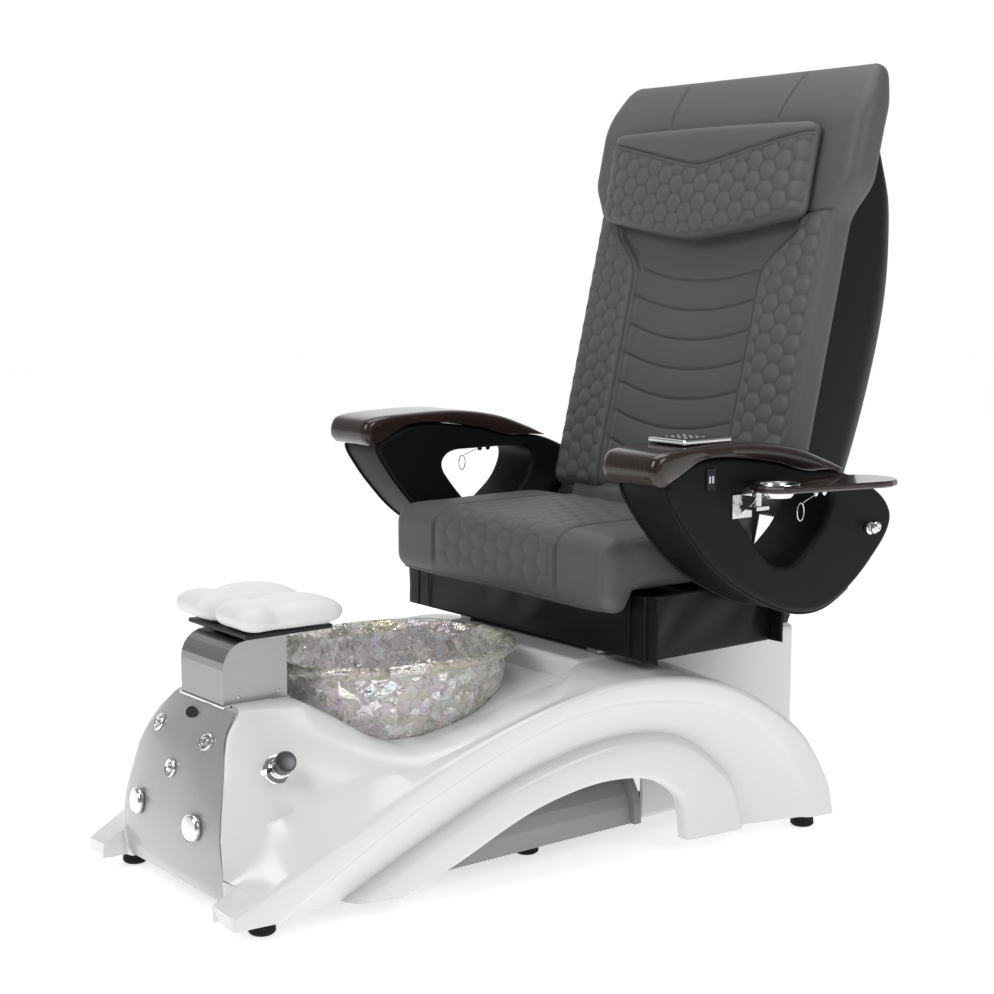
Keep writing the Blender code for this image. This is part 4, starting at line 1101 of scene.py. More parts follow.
def back_shape(points):
    x, depth, height = points.T
    u = x / BACK_HALF
    head = 0.046 * np.clip((height - 0.83) / 0.125, 0.0, 1.2) ** 1.4
    share = (0.030 - depth) / 0.082
    return np.stack([u * pad_edge(height), depth + head * np.clip(share, 0, 1), height], 1)


def front_of(normals):
    """1 on faces that look out of the front of the back, 0 on its sides and rear."""
    return smooth((-normals[:, 1] - 0.35) / 0.35)


def back_relief(points, normals):
    cover = settings()[0]
    x, _, z = points.T
    across = np.abs(x)
    front = front_of(normals)
    seam = inner_seam(z)
    low = smooth((0.652 - z) / 0.012)
    centre = smooth((seam - across) / 0.016) * low
    bubbles, valley = domes(across - 0.188, z, cover.bubble * 0.91, cover.bubble)
    quilted = smooth((across - seam - 0.006) / 0.008) * low * smooth((z - 0.085) / 0.012)
    quilted *= smooth((pad_edge(z) - 0.012 - across) / 0.010)
    move = cover.bubble_height * bubbles * quilted - 0.015 * centre
    groove = 0.55 * valley * quilted
    lines = [(np.abs(across - seam), 0.0030, 0.0045, low)]
    channel = (z - 0.027 * (x / 0.17) ** 2 - 0.10) / 0.060
    lines.append((np.abs(channel - np.round(channel)) * 0.060, 0.0024, 0.0026,
                  centre * smooth((0.55 - z) / 0.01) * (channel > -0.5)))
    move += 0.0022 * np.abs(np.sin(math.pi * channel)) ** 0.7 * centre * smooth((0.55 - z) / 0.02)
    lines.append((np.abs(across - 0.150 - 0.10 * (z - 0.85)), 0.0026, 0.0030, smooth((z - 0.83) / 0.01)))
    lines.append((np.abs(z - 0.655 - 0.10 * (across - 0.30)), 0.0030, 0.0045, smooth((across - 0.22) / 0.02)))
    for distance, width, deep, where in lines:
        line = crease(distance, width) * where
        move -= deep * line
        groove = np.maximum(groove, line)
    return move * front, groove * front


def make_back_pad():
    low, high = (-BACK_HALF, -0.050, 0.074), (BACK_HALF, 0.026, 0.953)
    pad = soft_block("back_upholstery", low, high, (0.024, 0.026, 0.030), 0.011, back_shape)
    puff(pad, 4.0, 0.005)
    pad = sew(refine(pad, 2), back_relief, on_back)
    ride(pad, "back", "grey_leather", ("back_pad",))
    return pad


def no_relief(points, normals):
    return np.zeros(len(points)), np.zeros(len(points))


def make_back_tail():
    """Padded leather apron that closes the gap between the back's lower edge and the seat."""
    tail = soft_block("back_apron", (-0.262, -0.044, -0.004), (0.262, -0.012, 0.090), (0.012, 0.012, 0.014),
                      0.011, lambda points: points)
    tail = sew(refine(tail, 1), no_relief, on_back)
    ride(tail, "back", "grey_leather")


def pillow_low(x):
    return 0.590 + 0.046 * (np.abs(x) / 0.285) ** 1.35


def pillow_shape(points):
    x, depth, height = points.T
    t = (height - 0.60) / 0.225
    low, high = pillow_low(x), 0.8250 - 0.004 * (x / 0.285) ** 2
    share = (-0.0525 - depth) / 0.0475
    front = 0.0475 * (0.80 + 0.20 * t) * (1 - 0.30 * np.abs(x / 0.285) ** 4)
    return np.stack([x, -0.0530 - share * front, low + (high - low) * t], 1)


def chevron(x):
    return 0.742 + 0.058 * (np.sqrt(x ** 2 + 0.0006) - 0.0245) / 0.26


def pillow_relief(points, normals):
    cover = settings()[0]
    x, _, z = points.T
    front = front_of(normals)
    bubbles, valley = domes(x + 0.014, z, cover.bubble * 0.91, cover.bubble)
    quilted = smooth((chevron(x) - 0.006 - z) / 0.008) * smooth((z - pillow_low(x) - 0.010) / 0.012)
    quilted *= smooth((0.280 - np.abs(x)) / 0.008)
    move = cover.bubble_height * 1.1 * bubbles * quilted
    groove = 0.55 * valley * quilted
    for shift, width, deep in ((0.0, 0.0026, 0.0040), (0.0085, 0.0018, 0.0016)):
        line = crease(np.abs(z - chevron(x) + shift), width)
        move -= deep * line
        groove = np.maximum(groove, line)
    return move * front, groove * front


def make_pillow():
    pillow = soft_block("head_pillow_cover", (-0.285, -0.100, 0.600), (0.285, -0.0525, 0.825),
                        (0.026, 0.022, 0.022), 0.0095, pillow_shape)
    puff(pillow, 4.0, 0.004)
    pillow = sew(refine(pillow, 2), pillow_relief, on_back)
    ride(pillow, "back", "grey_leather", ("head_pillow",))
    return pillow


def seat_shape(points):
    low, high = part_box("seat_cushion")
    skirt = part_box("seat_skirt")[0].y
    x, y, z = points.T
    floor = 0.0375 * smooth((y - skirt + 0.022) / 0.020)
    share = (high.z - z) / (high.z - low.z)
    crown = 0.005 * (1 - (x / high.x) ** 2) * smooth((high.y - y) / 0.10) * (1 - share)
    return np.stack([x, y, high.z - 0.0045 - share * (high.z - 0.0045 - low.z - floor) + crown], 1)


def seat_relief(points, normals):
    cover = settings()[0]
    low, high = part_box("seat_cushion")
    x, y, z = points.T
    across = np.abs(x)
    outside = smooth((normals[:, 2] + 0.25) / 0.3) * smooth((high.y - 0.02 - y) / 0.02)
    outside *= smooth((-np.abs(normals[:, 0]) + 0.75) / 0.3)
    run = np.where(normals[:, 2] > 0.6, y - low.y, 0.02 - (high.z - z))
    bubbles, valley = domes(x, run, cover.bubble * 1.02, cover.bubble * 1.12)
    quilted = smooth((0.172 - across) / 0.012)
    move = 0.55 * cover.bubble_height * bubbles * quilted
    groove = 0.30 * valley * quilted
    for at, deep in ((0.183, 0.0034), (0.309, 0.0026)):
        line = crease(np.abs(across - at), 0.0028)
        move -= deep * line
        groove = np.maximum(groove, line)
    return move * outside, groove * outside


def make_seat():
    low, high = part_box("seat_cushion")
    inset = 0.004
    cushion = soft_block("seat_upholstery", low + Vector((inset,) * 3), high - Vector((inset,) * 3),
                         (0.022, 0.046, 0.036), 0.0105, seat_shape)
    puff(cushion, 4.0, 0.004)
    cushion = sew(refine(cushion, 2), seat_relief, lambda points: points)
    ride(cushion, "seat", "grey_leather", ("seat_cushion",))
    edge = low.z + 0.013
    run = []
    for a in np.linspace(-1.0, 1.0, 120):
        start = Vector((a * (high.x + 0.05), low.y - 0.10 * (1 - abs(a) ** 6), edge))
        aim = Vector((a * (high.x - 0.06), low.y + 0.060, edge))
        run += drop_onto(cushion, [start], aim - start, -0.0008)
    piping = tube("seat_piping", run, 0.0026)
    # The piping takes a little of the leather's painted seam shade.
    keep_value(piping.data, "groove", np.full(len(piping.data.vertices), 0.15))
    ride(piping, "seat", "grey_leather")
    return cushion


def make_skirt():
    """Vinyl skirt round the seat frame, drawn tight at the top with soft slanting folds."""
    low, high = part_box("seat_skirt")
    inset, corner = 0.004, 0.018
    outline = softened(rectangle(low, high, inset), corner, 3)
    loop = spline([Vector((*p, 0)) for p in outline], 360, closed=True)
    middle = (low.y + high.y) / 2
    rows = []
    for k in range(25):
        t = k / 24
        row = []
        for i, p in enumerate(loop):
            run = p.x * 0.9 + p.y * 1.3
            fold = math.sin(46 * run + 5.0 * t + 1.4 * math.sin(17 * run))
            fold *= math.sin(math.pi * min(1, t * 1.15))
            out = Vector((p.x, p.y - middle, 0)).normalized()
            row.append(Vector((p.x, p.y, high.z - t * (high.z - low.z))) + out * (0.0016 * fold - 0.0012))
        rows.append(row)
    points, faces = grid(rows, closed_rows=True)
    skirt = new_object("vinyl_skirt", points, faces)
    wall = skirt.modifiers.new("wall", "SOLIDIFY")
    wall.thickness, wall.offset = 0.0012, 0.0
    skirt = settle(skirt)
    keep_value(skirt.data, "groove", np.zeros(len(skirt.data.vertices)))
    ride(skirt, "seat", "black_vinyl", ("seat_skirt",))
    for index, x in enumerate((low.x + 0.045, high.x - 0.045)):
        run = [(x, low.y + 0.0015, low.z + 0.002), (x, low.y + 0.0005, low.z + 0.060),
               (x, low.y + 0.0015, high.z - 0.002)]
        welt = tube(f"skirt_seam_{index + 1}", run, 0.0014)
        # The welts take some of the vinyl's painted seam shade.
        keep_value(welt.data, "groove", np.full(len(welt.data.vertices), 0.3))
        ride(welt, "seat", "black_vinyl")


def make_back_shell():
    """Moulded black shell behind the back, smooth all over."""
    half = size_of("back_shell").x / 2
    start = 0.0305
    profile = [(0.100, 0.150), (0.160, 0.180), (0.300, 0.205), (0.450, 0.217), (0.560, 0.212),
               (0.650, 0.194), (0.725, 0.168), (0.780, 0.128), (0.830, 0.082), (0.862, 0.040)]
    corners = [(-1, 0), (-1, 0.45), (-0.985, 0.72), (-0.90, 0.93), (-0.72, 0.985), (-0.4, 1.0)]
    corners = [(*corner, 0) for corner in (*corners, (0, 1.0), *((-u, k) for u, k in reversed(corners)))]
    section = [(p.x, p.y) for p in spline(corners, 90)]
    rows = []
    for height, deep, _ in spline([(z, d, 0) for z, d in profile], 70):
        rows.append(on_back([(u * half, start + (deep - start) * share, height) for u, share in section]))
    shell = walled("back_shell_cover", rows, 0.004, 1, 45)
    ride(shell, "back", "black_shell", ("back_shell",))


def footrest_shape(points):
    low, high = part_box("footrest_pad")
    x, y, z = points.T
    u, t = x / high.x, (y - low.y) / (high.y - low.y)
    valley = crease(u, 0.13) * (1 - 0.55 * smooth((t - 0.25) / 0.75))
    waist = crease(t - 0.34, 0.12)
    lift = (z - low.z) / (high.z - low.z)
    height = (1 - 0.60 * valley) * (1 - 0.10 * waist) * (1 - 0.12 * smooth((t - 0.6) / 0.4))
    height *= 1 - 0.16 * (np.abs(u) - 0.5) ** 2 / 0.25
    notch = 0.040 * valley * (1 - t)
    return np.stack([x * (1 - 0.07 * waist * np.abs(u)), y + notch,
                     low.z + 0.0005 + lift * (high.z - low.z) * 1.06 * height], 1)


def make_footrest():
    low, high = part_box("footrest_pad")
    inset = 0.002
    pad = soft_block("footrest_cushion", low + Vector((inset,) * 3), high - Vector((inset,) * 3),
                     (0.034, 0.044, 0.022), 0.0070, footrest_shape)
    pad = refine(pad, 2)
    ride(pad, "footrest_top", "white_pad", ("footrest_pad",))


# ---------------------------------------------------------------- arms

def make_arms():
    for side_name, side in SIDES:
        pod_low, pod_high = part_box(f"arm_pod_{side_name}")
        outlines = flat_outlines(f"arm_pod_{side_name}", 0, side)[:2]
        shapes = [softened(outlines[0], 0.035, 6), softened(outlines[1], 0.030, 6)]
        pod = plate(f"arm_{side_name}_upholstery", shapes, pod_low.x, pod_high.x, 0.010)
        keep_value(pod.data, "groove", np.zeros(len(pod.data.vertices)))
        ride(pod, f"arm_{side_name}", "black_leather", (f"arm_pod_{side_name}",))
        cap_low, cap_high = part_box(f"arm_cap_{side_name}")
        cap = make_cap(f"arm_{side_name}_wood", cap_low.x, cap_high.x)
        ride(cap, f"arm_{side_name}", "espresso_wood", (f"arm_cap_{side_name}",))
        make_arm_piping(side_name, side, shapes[0], pod_low, pod_high)


def make_cap(name, low, high, edge=0.015):
    """Wooden cap: sections from its underside up over two rounded edges, laid from the rear to the front."""
    count = 90
    top, under = (spline([(y, z, 0) for y, z in path], count) for path in (CAP_TOP, CAP_UNDER))
    rows = []
    for t, u in zip(top, under):
        height = (t - u).length
        across, up = edge, min(edge / height, 0.75)
        row = [(low + 0.002, 0.0), (low, 0.08)]
        for k in range(7):
            a = 0.5 * math.pi * k / 6
            row.append((low + across * (1 - math.cos(a)), 1 - up * (1 - math.sin(a))))
        middle = [(low + (high - low) * k / 6, 1.0) for k in range(1, 6)]
        row += middle + [(low + high - x, s) for x, s in reversed(row)]
        rows.append([(x, u.x + (t.x - u.x) * s, u.y + (t.y - u.y) * s) for x, s in row])
    return closed_loft(name, rows, 50)


def make_arm_piping(side_name, side, outline, low, high):
    """Two lines of piping down the front edge of an arm and under it."""
    tip = min(range(len(outline)), key=lambda i: outline[i][0])
    end = min(range(len(outline)), key=lambda i: math.dist(outline[i], (0.400, 0.472)))
    forward = [outline[(tip + k) % len(outline)] for k in range((end - tip) % len(outline) + 1)]
    backward = [outline[(tip - k) % len(outline)] for k in range((tip - end) % len(outline) + 1)]
    run = min(forward, backward, key=lambda path: sum(z for _, z in path) / len(path))
    for index, x in enumerate((low.x + 0.0085, high.x - 0.0085)):
        path = spline([Vector((x, y, z)) for y, z in run], 90)
        centre = Vector((x, 0.20, 0.62))
        path = [p + (p - centre).normalized() * 0.0006 for p in path]
        piping = tube(f"arm_{side_name}_piping_{index + 1}", path, 0.0026)
        # A trace of the leather's painted seam shade on the piping.
        keep_value(piping.data, "groove", np.full(len(piping.data.vertices), 0.05))
        ride(piping, f"arm_{side_name}", "black_leather")


def make_gusset(side_name, side, face, z):
    """Steel web with a hole under the root of a tray."""
    y = middle_of(f"tray_bracket_{side_name}").y
    outline = softened([(face + 0.0006, z - 0.006), (face + 0.0500, z - 0.006), (face + 0.0440, z - 0.016),
                        (face + 0.0006, z - 0.046)], 0.004, 3)
    hole = [(face + 0.013 + 0.0035 * math.cos(a), z - 0.020 + 0.0035 * math.sin(a))
            for a in (2 * math.pi * k / 20 for k in range(20))]
    gusset = plate(f"tray_gusset_{side_name}", [outline, hole], -0.0011, 0.0011, 0.0004, "Z")
    turn = Matrix(((side, 0, 0, 0), (0, 0, 1, y - 0.012), (0, 1, 0, 0), (0, 0, 0, 1)))
    gusset.data.transform(turn)
    if turn.determinant() < 0:
        gusset.data.flip_normals()
    ride(gusset, f"arm_{side_name}", "satin_chrome")


def make_arm_hardware():
    """Tray gussets, key rings, pivot screws, and the faces of the control panel and charging port."""
    for side_name, side in SIDES:
        body = f"arm_{side_name}"
        face = max(abs(c.x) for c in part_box(f"arm_pod_{side_name}"))
        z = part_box(f"tray_{side_name}")[0].z
        make_gusset(side_name, side, face, z)
        pivot = middle_of(f"arm_pivot_{side_name}")
        knob = turned(f"pivot_screw_{side_name}",
                      [(0.0085, 0.0003), (0.0098, 0.0010), (0.0100, 0.0040), (0.0088, 0.0062),
                        (0.0060, 0.0072),
                       (0.0052, 0.0060), (0.0020, 0.0058)], Vector((side * face, pivot.y + 0.021, pivot.z)),
                      (side, 0, 0), 32)
        ride(knob, body, "chrome")
        for index, y_at in enumerate((0.300, 0.322)):
            profile = [(0.0055, 0.0003), (0.0060, 0.0010), (0.0058, 0.0030), (0.0035, 0.0048),
                       (0.0016, 0.0060)]
            eyelet = turned(f"eyelet_{side_name}_{index + 1}", profile,
                            Vector((side * face, y_at, z - 0.020)), (side, 0, 0), 24)
            ride(eyelet, body, "chrome")
        wire = spline([Vector((side * (face + dx), y_at, z + dz)) for dx, y_at, dz in
                       ((0.004, 0.300, -0.021), (0.006, 0.288, -0.024), (0.007, 0.270, -0.030),
                        (0.007, 0.262, -0.034))], 24)
        ride(tube(f"ring_wire_{side_name}", wire, 0.0009), body, "chrome")
        ring = [Vector((side * (face + 0.007), 0.256 + 0.0085 * math.cos(a),
                        z - 0.049 + 0.0155 * math.sin(a))) for a in (2 * math.pi * k / 40 for k in range(40))]
        ride(tube(f"key_ring_{side_name}", ring, 0.0011, closed=True), body, "chrome")
    make_control_face()


def make_control_face():
    """Glass face of the control panel, and the two sockets of the charging port."""
    low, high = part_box("control_panel")
    outline = softened(rectangle(low, high, 0.0075), 0.006, 4)
    glass = plate("control_glass", [outline], high.z - 0.0006, high.z + 0.0010, 0.0004, "Z")
    ride(glass, "arm_right", "panel_glass")
    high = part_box("usb_port")[1]
    y, z = middle_of("usb_port").yz
    for index, shift in enumerate((-0.0036, 0.0036)):
        outline = softened([(y + shift - 0.0018, z - 0.0060), (y + shift + 0.0018, z - 0.0060),
                            (y + shift + 0.0018, z + 0.0060), (y + shift - 0.0018, z + 0.0060)], 0.0006, 2)
        socket = plate(f"charging_socket_{index + 1}", [outline], high.x - 0.0004, high.x + 0.0008, 0.0002)
        ride(socket, "arm_right", "key_print")


# ---------------------------------------------------------------- turned metalwork

def make_controls():
    """Buttons, dials, valve and dishes as smooth turned pieces on their joints' axes."""
    for number in (1, 2, 3):
        joint = JOINTS[f"button_{number}_press"]
        out = -Vector(joint["axis"])
        bezel_low, bezel_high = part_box(f"button_bezel_{number}")
        centre = (bezel_low + bezel_high) / 2 - out * 0.0026
        bezel = turned(f"button_ring_{number}",
                       [(0.0092, 0.0004), (0.0150, 0.0), (0.0158, 0.0012), (0.0152, 0.0036), (0.0138, 0.0050),
                        (0.0122, 0.0046), (0.0112, 0.0030), (0.0095, 0.0026), (0.0092, 0.0004)],
                       centre, out)
        ride(bezel, "base", "satin_chrome", (f"button_bezel_{number}",))
        button = turned(f"button_cap_{number}",
                        [(0.0080, -0.006), (0.0080, 0.0040), (0.0074, 0.0052), (0.0062, 0.0056),
                         (0.0054, 0.0048), (0.0046, 0.0048), (0.0040, 0.0058), (0.0020, 0.0062)], centre, out)
        node = f"push_button_{number}"
        ride(button, node, "satin_chrome", (node,))
    for side_name, _ in SIDES:
        joint = JOINTS[f"air_dial_{side_name}_turn"]
        out = Vector(joint["axis"])
        origin = Vector(joint["pos_m"]) + out * 0.0024
        dial = turned(f"dial_{side_name}",
                      [(0.0195, 0.0), (0.0222, 0.0010), (0.0230, 0.0028), (0.0228, 0.0060),
                       (0.0218, 0.0078), (0.0206, 0.0074), (0.0200, 0.0082), (0.0186, 0.0096),
                       (0.0120, 0.0104), (0.0025, 0.0107)],
                      origin, out, 64)
        ride(dial, f"air_dial_{side_name}", "satin_chrome", (f"air_dial_{side_name}",))
    badge_low, badge_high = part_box("badge")
    presses = [Vector(JOINTS[f"button_{number}_press"]["axis"]) for number in (1, 2)]
    out = -(presses[0] + presses[1]).normalized()
    badge = turned("blank_badge", [(0.0112, -0.0016), (0.0120, -0.0006), (0.0120, 0.0004),
                                   (0.0108, 0.0014), (0.0100, 0.0012), (0.0040, 0.0018), (0.0010, 0.0019)],
                   (0, 0, 0), (0, 0, 1), 48)
    turn = Vector((0, 0, 1)).rotation_difference(out).to_matrix().to_4x4()
    oval = Matrix.Diagonal((1.5, 0.85, 1, 1))
    badge.data.transform(Matrix.Translation((badge_low + badge_high) / 2) @ turn @ oval)
    ride(badge, "base", "dark_plastic", ("badge",))
    make_valve()
    for side_name, _ in SIDES:
        low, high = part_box(f"tray_dish_{side_name}")
        centre = Vector(((low.x + high.x) / 2, (low.y + high.y) / 2, low.z))
        profile = [(0.0145, 0.0), (0.0160, 0.0), (0.0255, 0.0025), (0.0292, 0.0075), (0.0298, 0.0105),
                   (0.0299, 0.0236), (0.0380, 0.0240), (0.0388, 0.0250), (0.0384, 0.0260), (0.0345, 0.0262),
                   (0.0300, 0.0246), (0.0286, 0.0230), (0.0262, 0.0170), (0.0236, 0.0068), (0.0160, 0.0036)]
        dish = turned(f"dish_{side_name}", profile, centre, (0, 0, 1), 64)
        ride(dish, f"tray_{side_name}", "satin_chrome", (f"tray_dish_{side_name}",))


def make_valve():
    joint = JOINTS["valve_lever_turn"]
    out = Vector(joint["axis"])
    root = Vector(joint["pos_m"]) - out * 0.017
    rose = turned("valve_flange", [(0.0230, 0.0), (0.0252, 0.0010), (0.0255, 0.0025), (0.0238, 0.0048),
                                   (0.0200, 0.0060), (0.0170, 0.0066), (0.0160, 0.0105)], root, out)
    ride(rose, "base", "chrome", ("valve_rose",))
    knob = turned("valve_grip", [(0.0150, 0.0), (0.0166, 0.0012), (0.0172, 0.0030), (0.0172, 0.0180),
                                 (0.0175, 0.0200), (0.0175, 0.0240), (0.0165, 0.0258), (0.0140, 0.0266),
                                 (0.0030, 0.0270)], root + out * 0.0236, out, 64)
    ride(knob, "valve_knob", "graphite", ("valve_knob",))


# ---------------------------------------------------------------- repeated pieces made with Geometry Nodes

class Tree(Nodes):
    """Geometry node tree whose inputs are named numbers, ending in Realize Instances and Set Material."""

    def __init__(self, name, numbers):
        super().__init__(bpy.data.node_groups.new(name, "GeometryNodeTree"))
        sockets = self.tree.interface
        sockets.new_socket("Geometry", in_out="INPUT", socket_type="NodeSocketGeometry")
        sockets.new_socket("Geometry", in_out="OUTPUT", socket_type="NodeSocketGeometry")
        self.values = {}
        for label, value in numbers.items():
            socket = sockets.new_socket(label, in_out="INPUT", socket_type="NodeSocketFloat")
            self.values[socket.identifier] = value
        self.given = self.node("NodeGroupInput")

    def place_copies(self, points, copy, rotation=None):
        inputs = {"Points": points, "Instance": copy}
        if rotation:
            inputs["Rotation"] = rotation
        return self.node("GeometryNodeInstanceOnPoints", None, inputs)

    def finish(self, instances, material):
        real = self.node("GeometryNodeRealizeInstances", None, {"Geometry": instances})
        painted = self.node("GeometryNodeSetMaterial", None, {"Geometry": real, "Material": finish(material)})
        self.node("NodeGroupOutput", None, {"Geometry": painted})
        return self

    def apply(self, target):
        modifier = target.modifiers.new("repeat", "NODES")
        modifier.node_group = self.tree
        for identifier, value in self.values.items():
            modifier[identifier] = value
        return settle(target)


def stitch_tree():
    """Short threads laid end to end along curves."""
    tree = Tree("stitches", {"Stitch length": 0.0036, "Pitch": settings()[0].stitch,
                             "Thread radius": 0.00045})
    given = tree.given
    spots = tree.node("GeometryNodeCurveToPoints", {"mode": "LENGTH"}, {0: given, "Length": given["Pitch"]})
    thread = tree.node("GeometryNodeMeshCylinder", None,
                       {"Vertices": 6, "Radius": given["Thread radius"], "Depth": given["Stitch length"]})
    return tree.finish(tree.place_copies(spots, thread, spots["Rotation"]), "thread")


def screw_tree():
    """Pan-head screws on points, standing along each point's own direction."""
    tree = Tree("screws", {"Head radius": 0.0034, "Head height": 0.0011})
    given = tree.given
    head = tree.node("GeometryNodeMeshCone", None,
                     {"Vertices": 20, "Side Segments": 2, "Radius Top": 0.0024,
                      "Radius Bottom": given["Head radius"], "Depth": given["Head height"]})
    facing = tree.node("GeometryNodeInputNamedAttribute", {"data_type": "FLOAT_VECTOR"}, {"Name": "facing"})
    turn = tree.node("FunctionNodeAlignRotationToVector", {"axis": "Z"}, {"Vector": facing})
    return tree.finish(tree.place_copies(given, head, turn), "satin_chrome")


def print_tree():
    """Small flat marks on points, the keys of the control panel."""
    tree = Tree("key_marks", {"Mark radius": 0.0030})
    mark = tree.node("GeometryNodeMeshCylinder", None,
                     {"Vertices": 16, "Radius": tree.given["Mark radius"], "Depth": 0.0003})
    return tree.finish(tree.place_copies(tree.given, mark), "key_print")


def slat_tree():
    """A row of short dark bars, painted shade standing in for the drain slots of the strip under the footrest
    housing.
    """
    tree = Tree("slots", {"Slot length": 0.0022})
    size = tree.node("ShaderNodeCombineXYZ", None, {"X": 0.0008, "Y": tree.given["Slot length"], "Z": 0.0030})
    bar = tree.node("GeometryNodeMeshCube", None, {"Size": size})
    return tree.finish(tree.place_copies(tree.given, bar), "dark_plastic")


def points_object(name, places, facings=None):
    mesh = bpy.data.meshes.new(name)
    mesh.from_pydata([tuple(p) for p in places], [], [])
    if facings:
        attribute = mesh.attributes.new("facing", "FLOAT_VECTOR", "POINT")
        attribute.data.foreach_set("vector", [c for f in facings for c in f])
    result = bpy.data.objects.new(name, mesh)
    bpy.context.scene.collection.objects.link(result)
    return result


def seam_curves(name, paths):
    curve = bpy.data.curves.new(name, "CURVE")
    curve.dimensions = "3D"
    for path in paths:
        run = curve.splines.new("POLY")
        run.points.add(len(path) - 1)
        for target, point in zip(run.points, path):
            target.co = (*point, 1.0)
    result = bpy.data.objects.new(name, curve)
    bpy.context.scene.collection.objects.link(result)
    return result


def drop_onto(target, starts, direction, lift):
    """Where rays from the starts meet a piece, lifted a little off it."""
    direction = Vector(direction).normalized()
    found = []
    for start in starts:
        hit, place, normal, _ = target.ray_cast(Vector(start), direction)
        if hit:
            found.append(place - direction * lift)
    return found


def make_stitches(pillow, cushion, pad):
    out = tuple(BACK_OUT)
    paths = []
    for shift in (0.0040, -0.0125):
        line = on_back([(x, -0.30, float(chevron(x)) + shift) for x in np.linspace(-0.268, 0.268, 90)])
        paths.append(drop_onto(pillow, line, out, 0.0002))
    for side in (-1, 1):
        line = on_back([(side * (0.154 + 0.10 * (z - 0.85)), -0.30, z) for z in np.linspace(0.85, 0.935, 20)])
        paths.append(drop_onto(pad, line, out, 0.0002))
    ride(stitch_tree().apply(seam_curves("back_stitches", paths)), "back")
    low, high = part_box("seat_cushion")
    paths = []
    for x in (-0.188, -0.178, 0.178, 0.188):
        line = [(x, y, high.z + 0.1) for y in np.linspace(high.y - 0.05, low.y + 0.030, 60)]
        top = drop_onto(cushion, line, (0, 0, -1), 0.0002)
        line = [(x, low.y - 0.1, z) for z in np.linspace(high.z - 0.030, low.z + 0.022, 24)]
        paths.append(top + drop_onto(cushion, line, (0, 1, 0), 0.0002))
    ride(stitch_tree().apply(seam_curves("seat_stitches", paths)), "seat")


def make_small_parts():
    low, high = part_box("footrest_housing")
    places, facings = [], []
    for _, side in SIDES:
        for y in (low.y + 0.028, high.y - 0.018):
            places.append(Vector((side * (high.x + 0.0004), y, low.z + 0.014)))
            facings.append((side, 0, 0))
    ride(screw_tree().apply(points_object("housing_screws", places, facings)), "base")
    outline = [(low.x - 0.004, low.y - 0.003), (high.x + 0.004, low.y - 0.003),
               (high.x + 0.004, high.y + 0.004), (low.x - 0.004, high.y + 0.004)]
    strip = plate("housing_gasket", [softened(outline, 0.004, 3)],
                  low.z - 0.0010, low.z + 0.0032, 0.0006, "Z")
    ride(strip, "base", "satin_chrome")
    # Dark bars of painted shade where the gasket's drain slots are.
    places = [Vector((side * (high.x + 0.0042), y, low.z + 0.0011)) for _, side in SIDES
              for y in np.linspace(low.y + 0.012, high.y - 0.012, 22)]
    ride(slat_tree().apply(points_object("gasket_slots", places)), "base")
    low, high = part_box("control_panel")
    places = [Vector((x, y, high.z + 0.0011)) for x in np.linspace(low.x + 0.022, high.x - 0.022, 4)
              for y in np.linspace(low.y + 0.024, high.y - 0.046, 4)]
    ride(print_tree().apply(points_object("key_marks", places)), "arm_right")


def dress_frame():
    """Detailed finishes for the CAD pieces that keep their own shape."""
    dress("gelcoat", "pedestal")
    dress("pump_grey", "pump_cover")
    dress("chrome", "drain_plug", "arm_pivot_left", "arm_pivot_right", "valve_lever")
    dress("brushed_steel", "footrest_housing", "footrest_column", "slide_rail_left", "slide_rail_right")
    dress("satin_chrome", "tray_bracket_left", "tray_bracket_right", "control_panel")
    dress("graphite", "pump_motor", "recline_motor")
    dress("dark_plastic", "footrest_plate", "massage_carriage", "pump_impeller", "usb_port")
    dress("rubber", "massage_rollers", *[n for n in NODES if n.startswith("foot_") and n != "foot_bowl"])
    dress("espresso_wood", "tray_left", "tray_right")
    dress("frame_paint", "base_frame", "seat_frame", "back_frame")


# ---------------------------------------------------------------- stage

def soft_light(name, place, target, size, energy):
    light = bpy.data.lights.new(name, "AREA")
    light.shape = "RECTANGLE"
    light.size, light.size_y = size
    light.energy = energy
    lamp = bpy.data.objects.new(name, light)
    lamp.location = place
    lamp.rotation_euler = (Vector(target) - Vector(place)).to_track_quat("-Z", "Y").to_euler()
    bpy.context.scene.collection.objects.link(lamp)


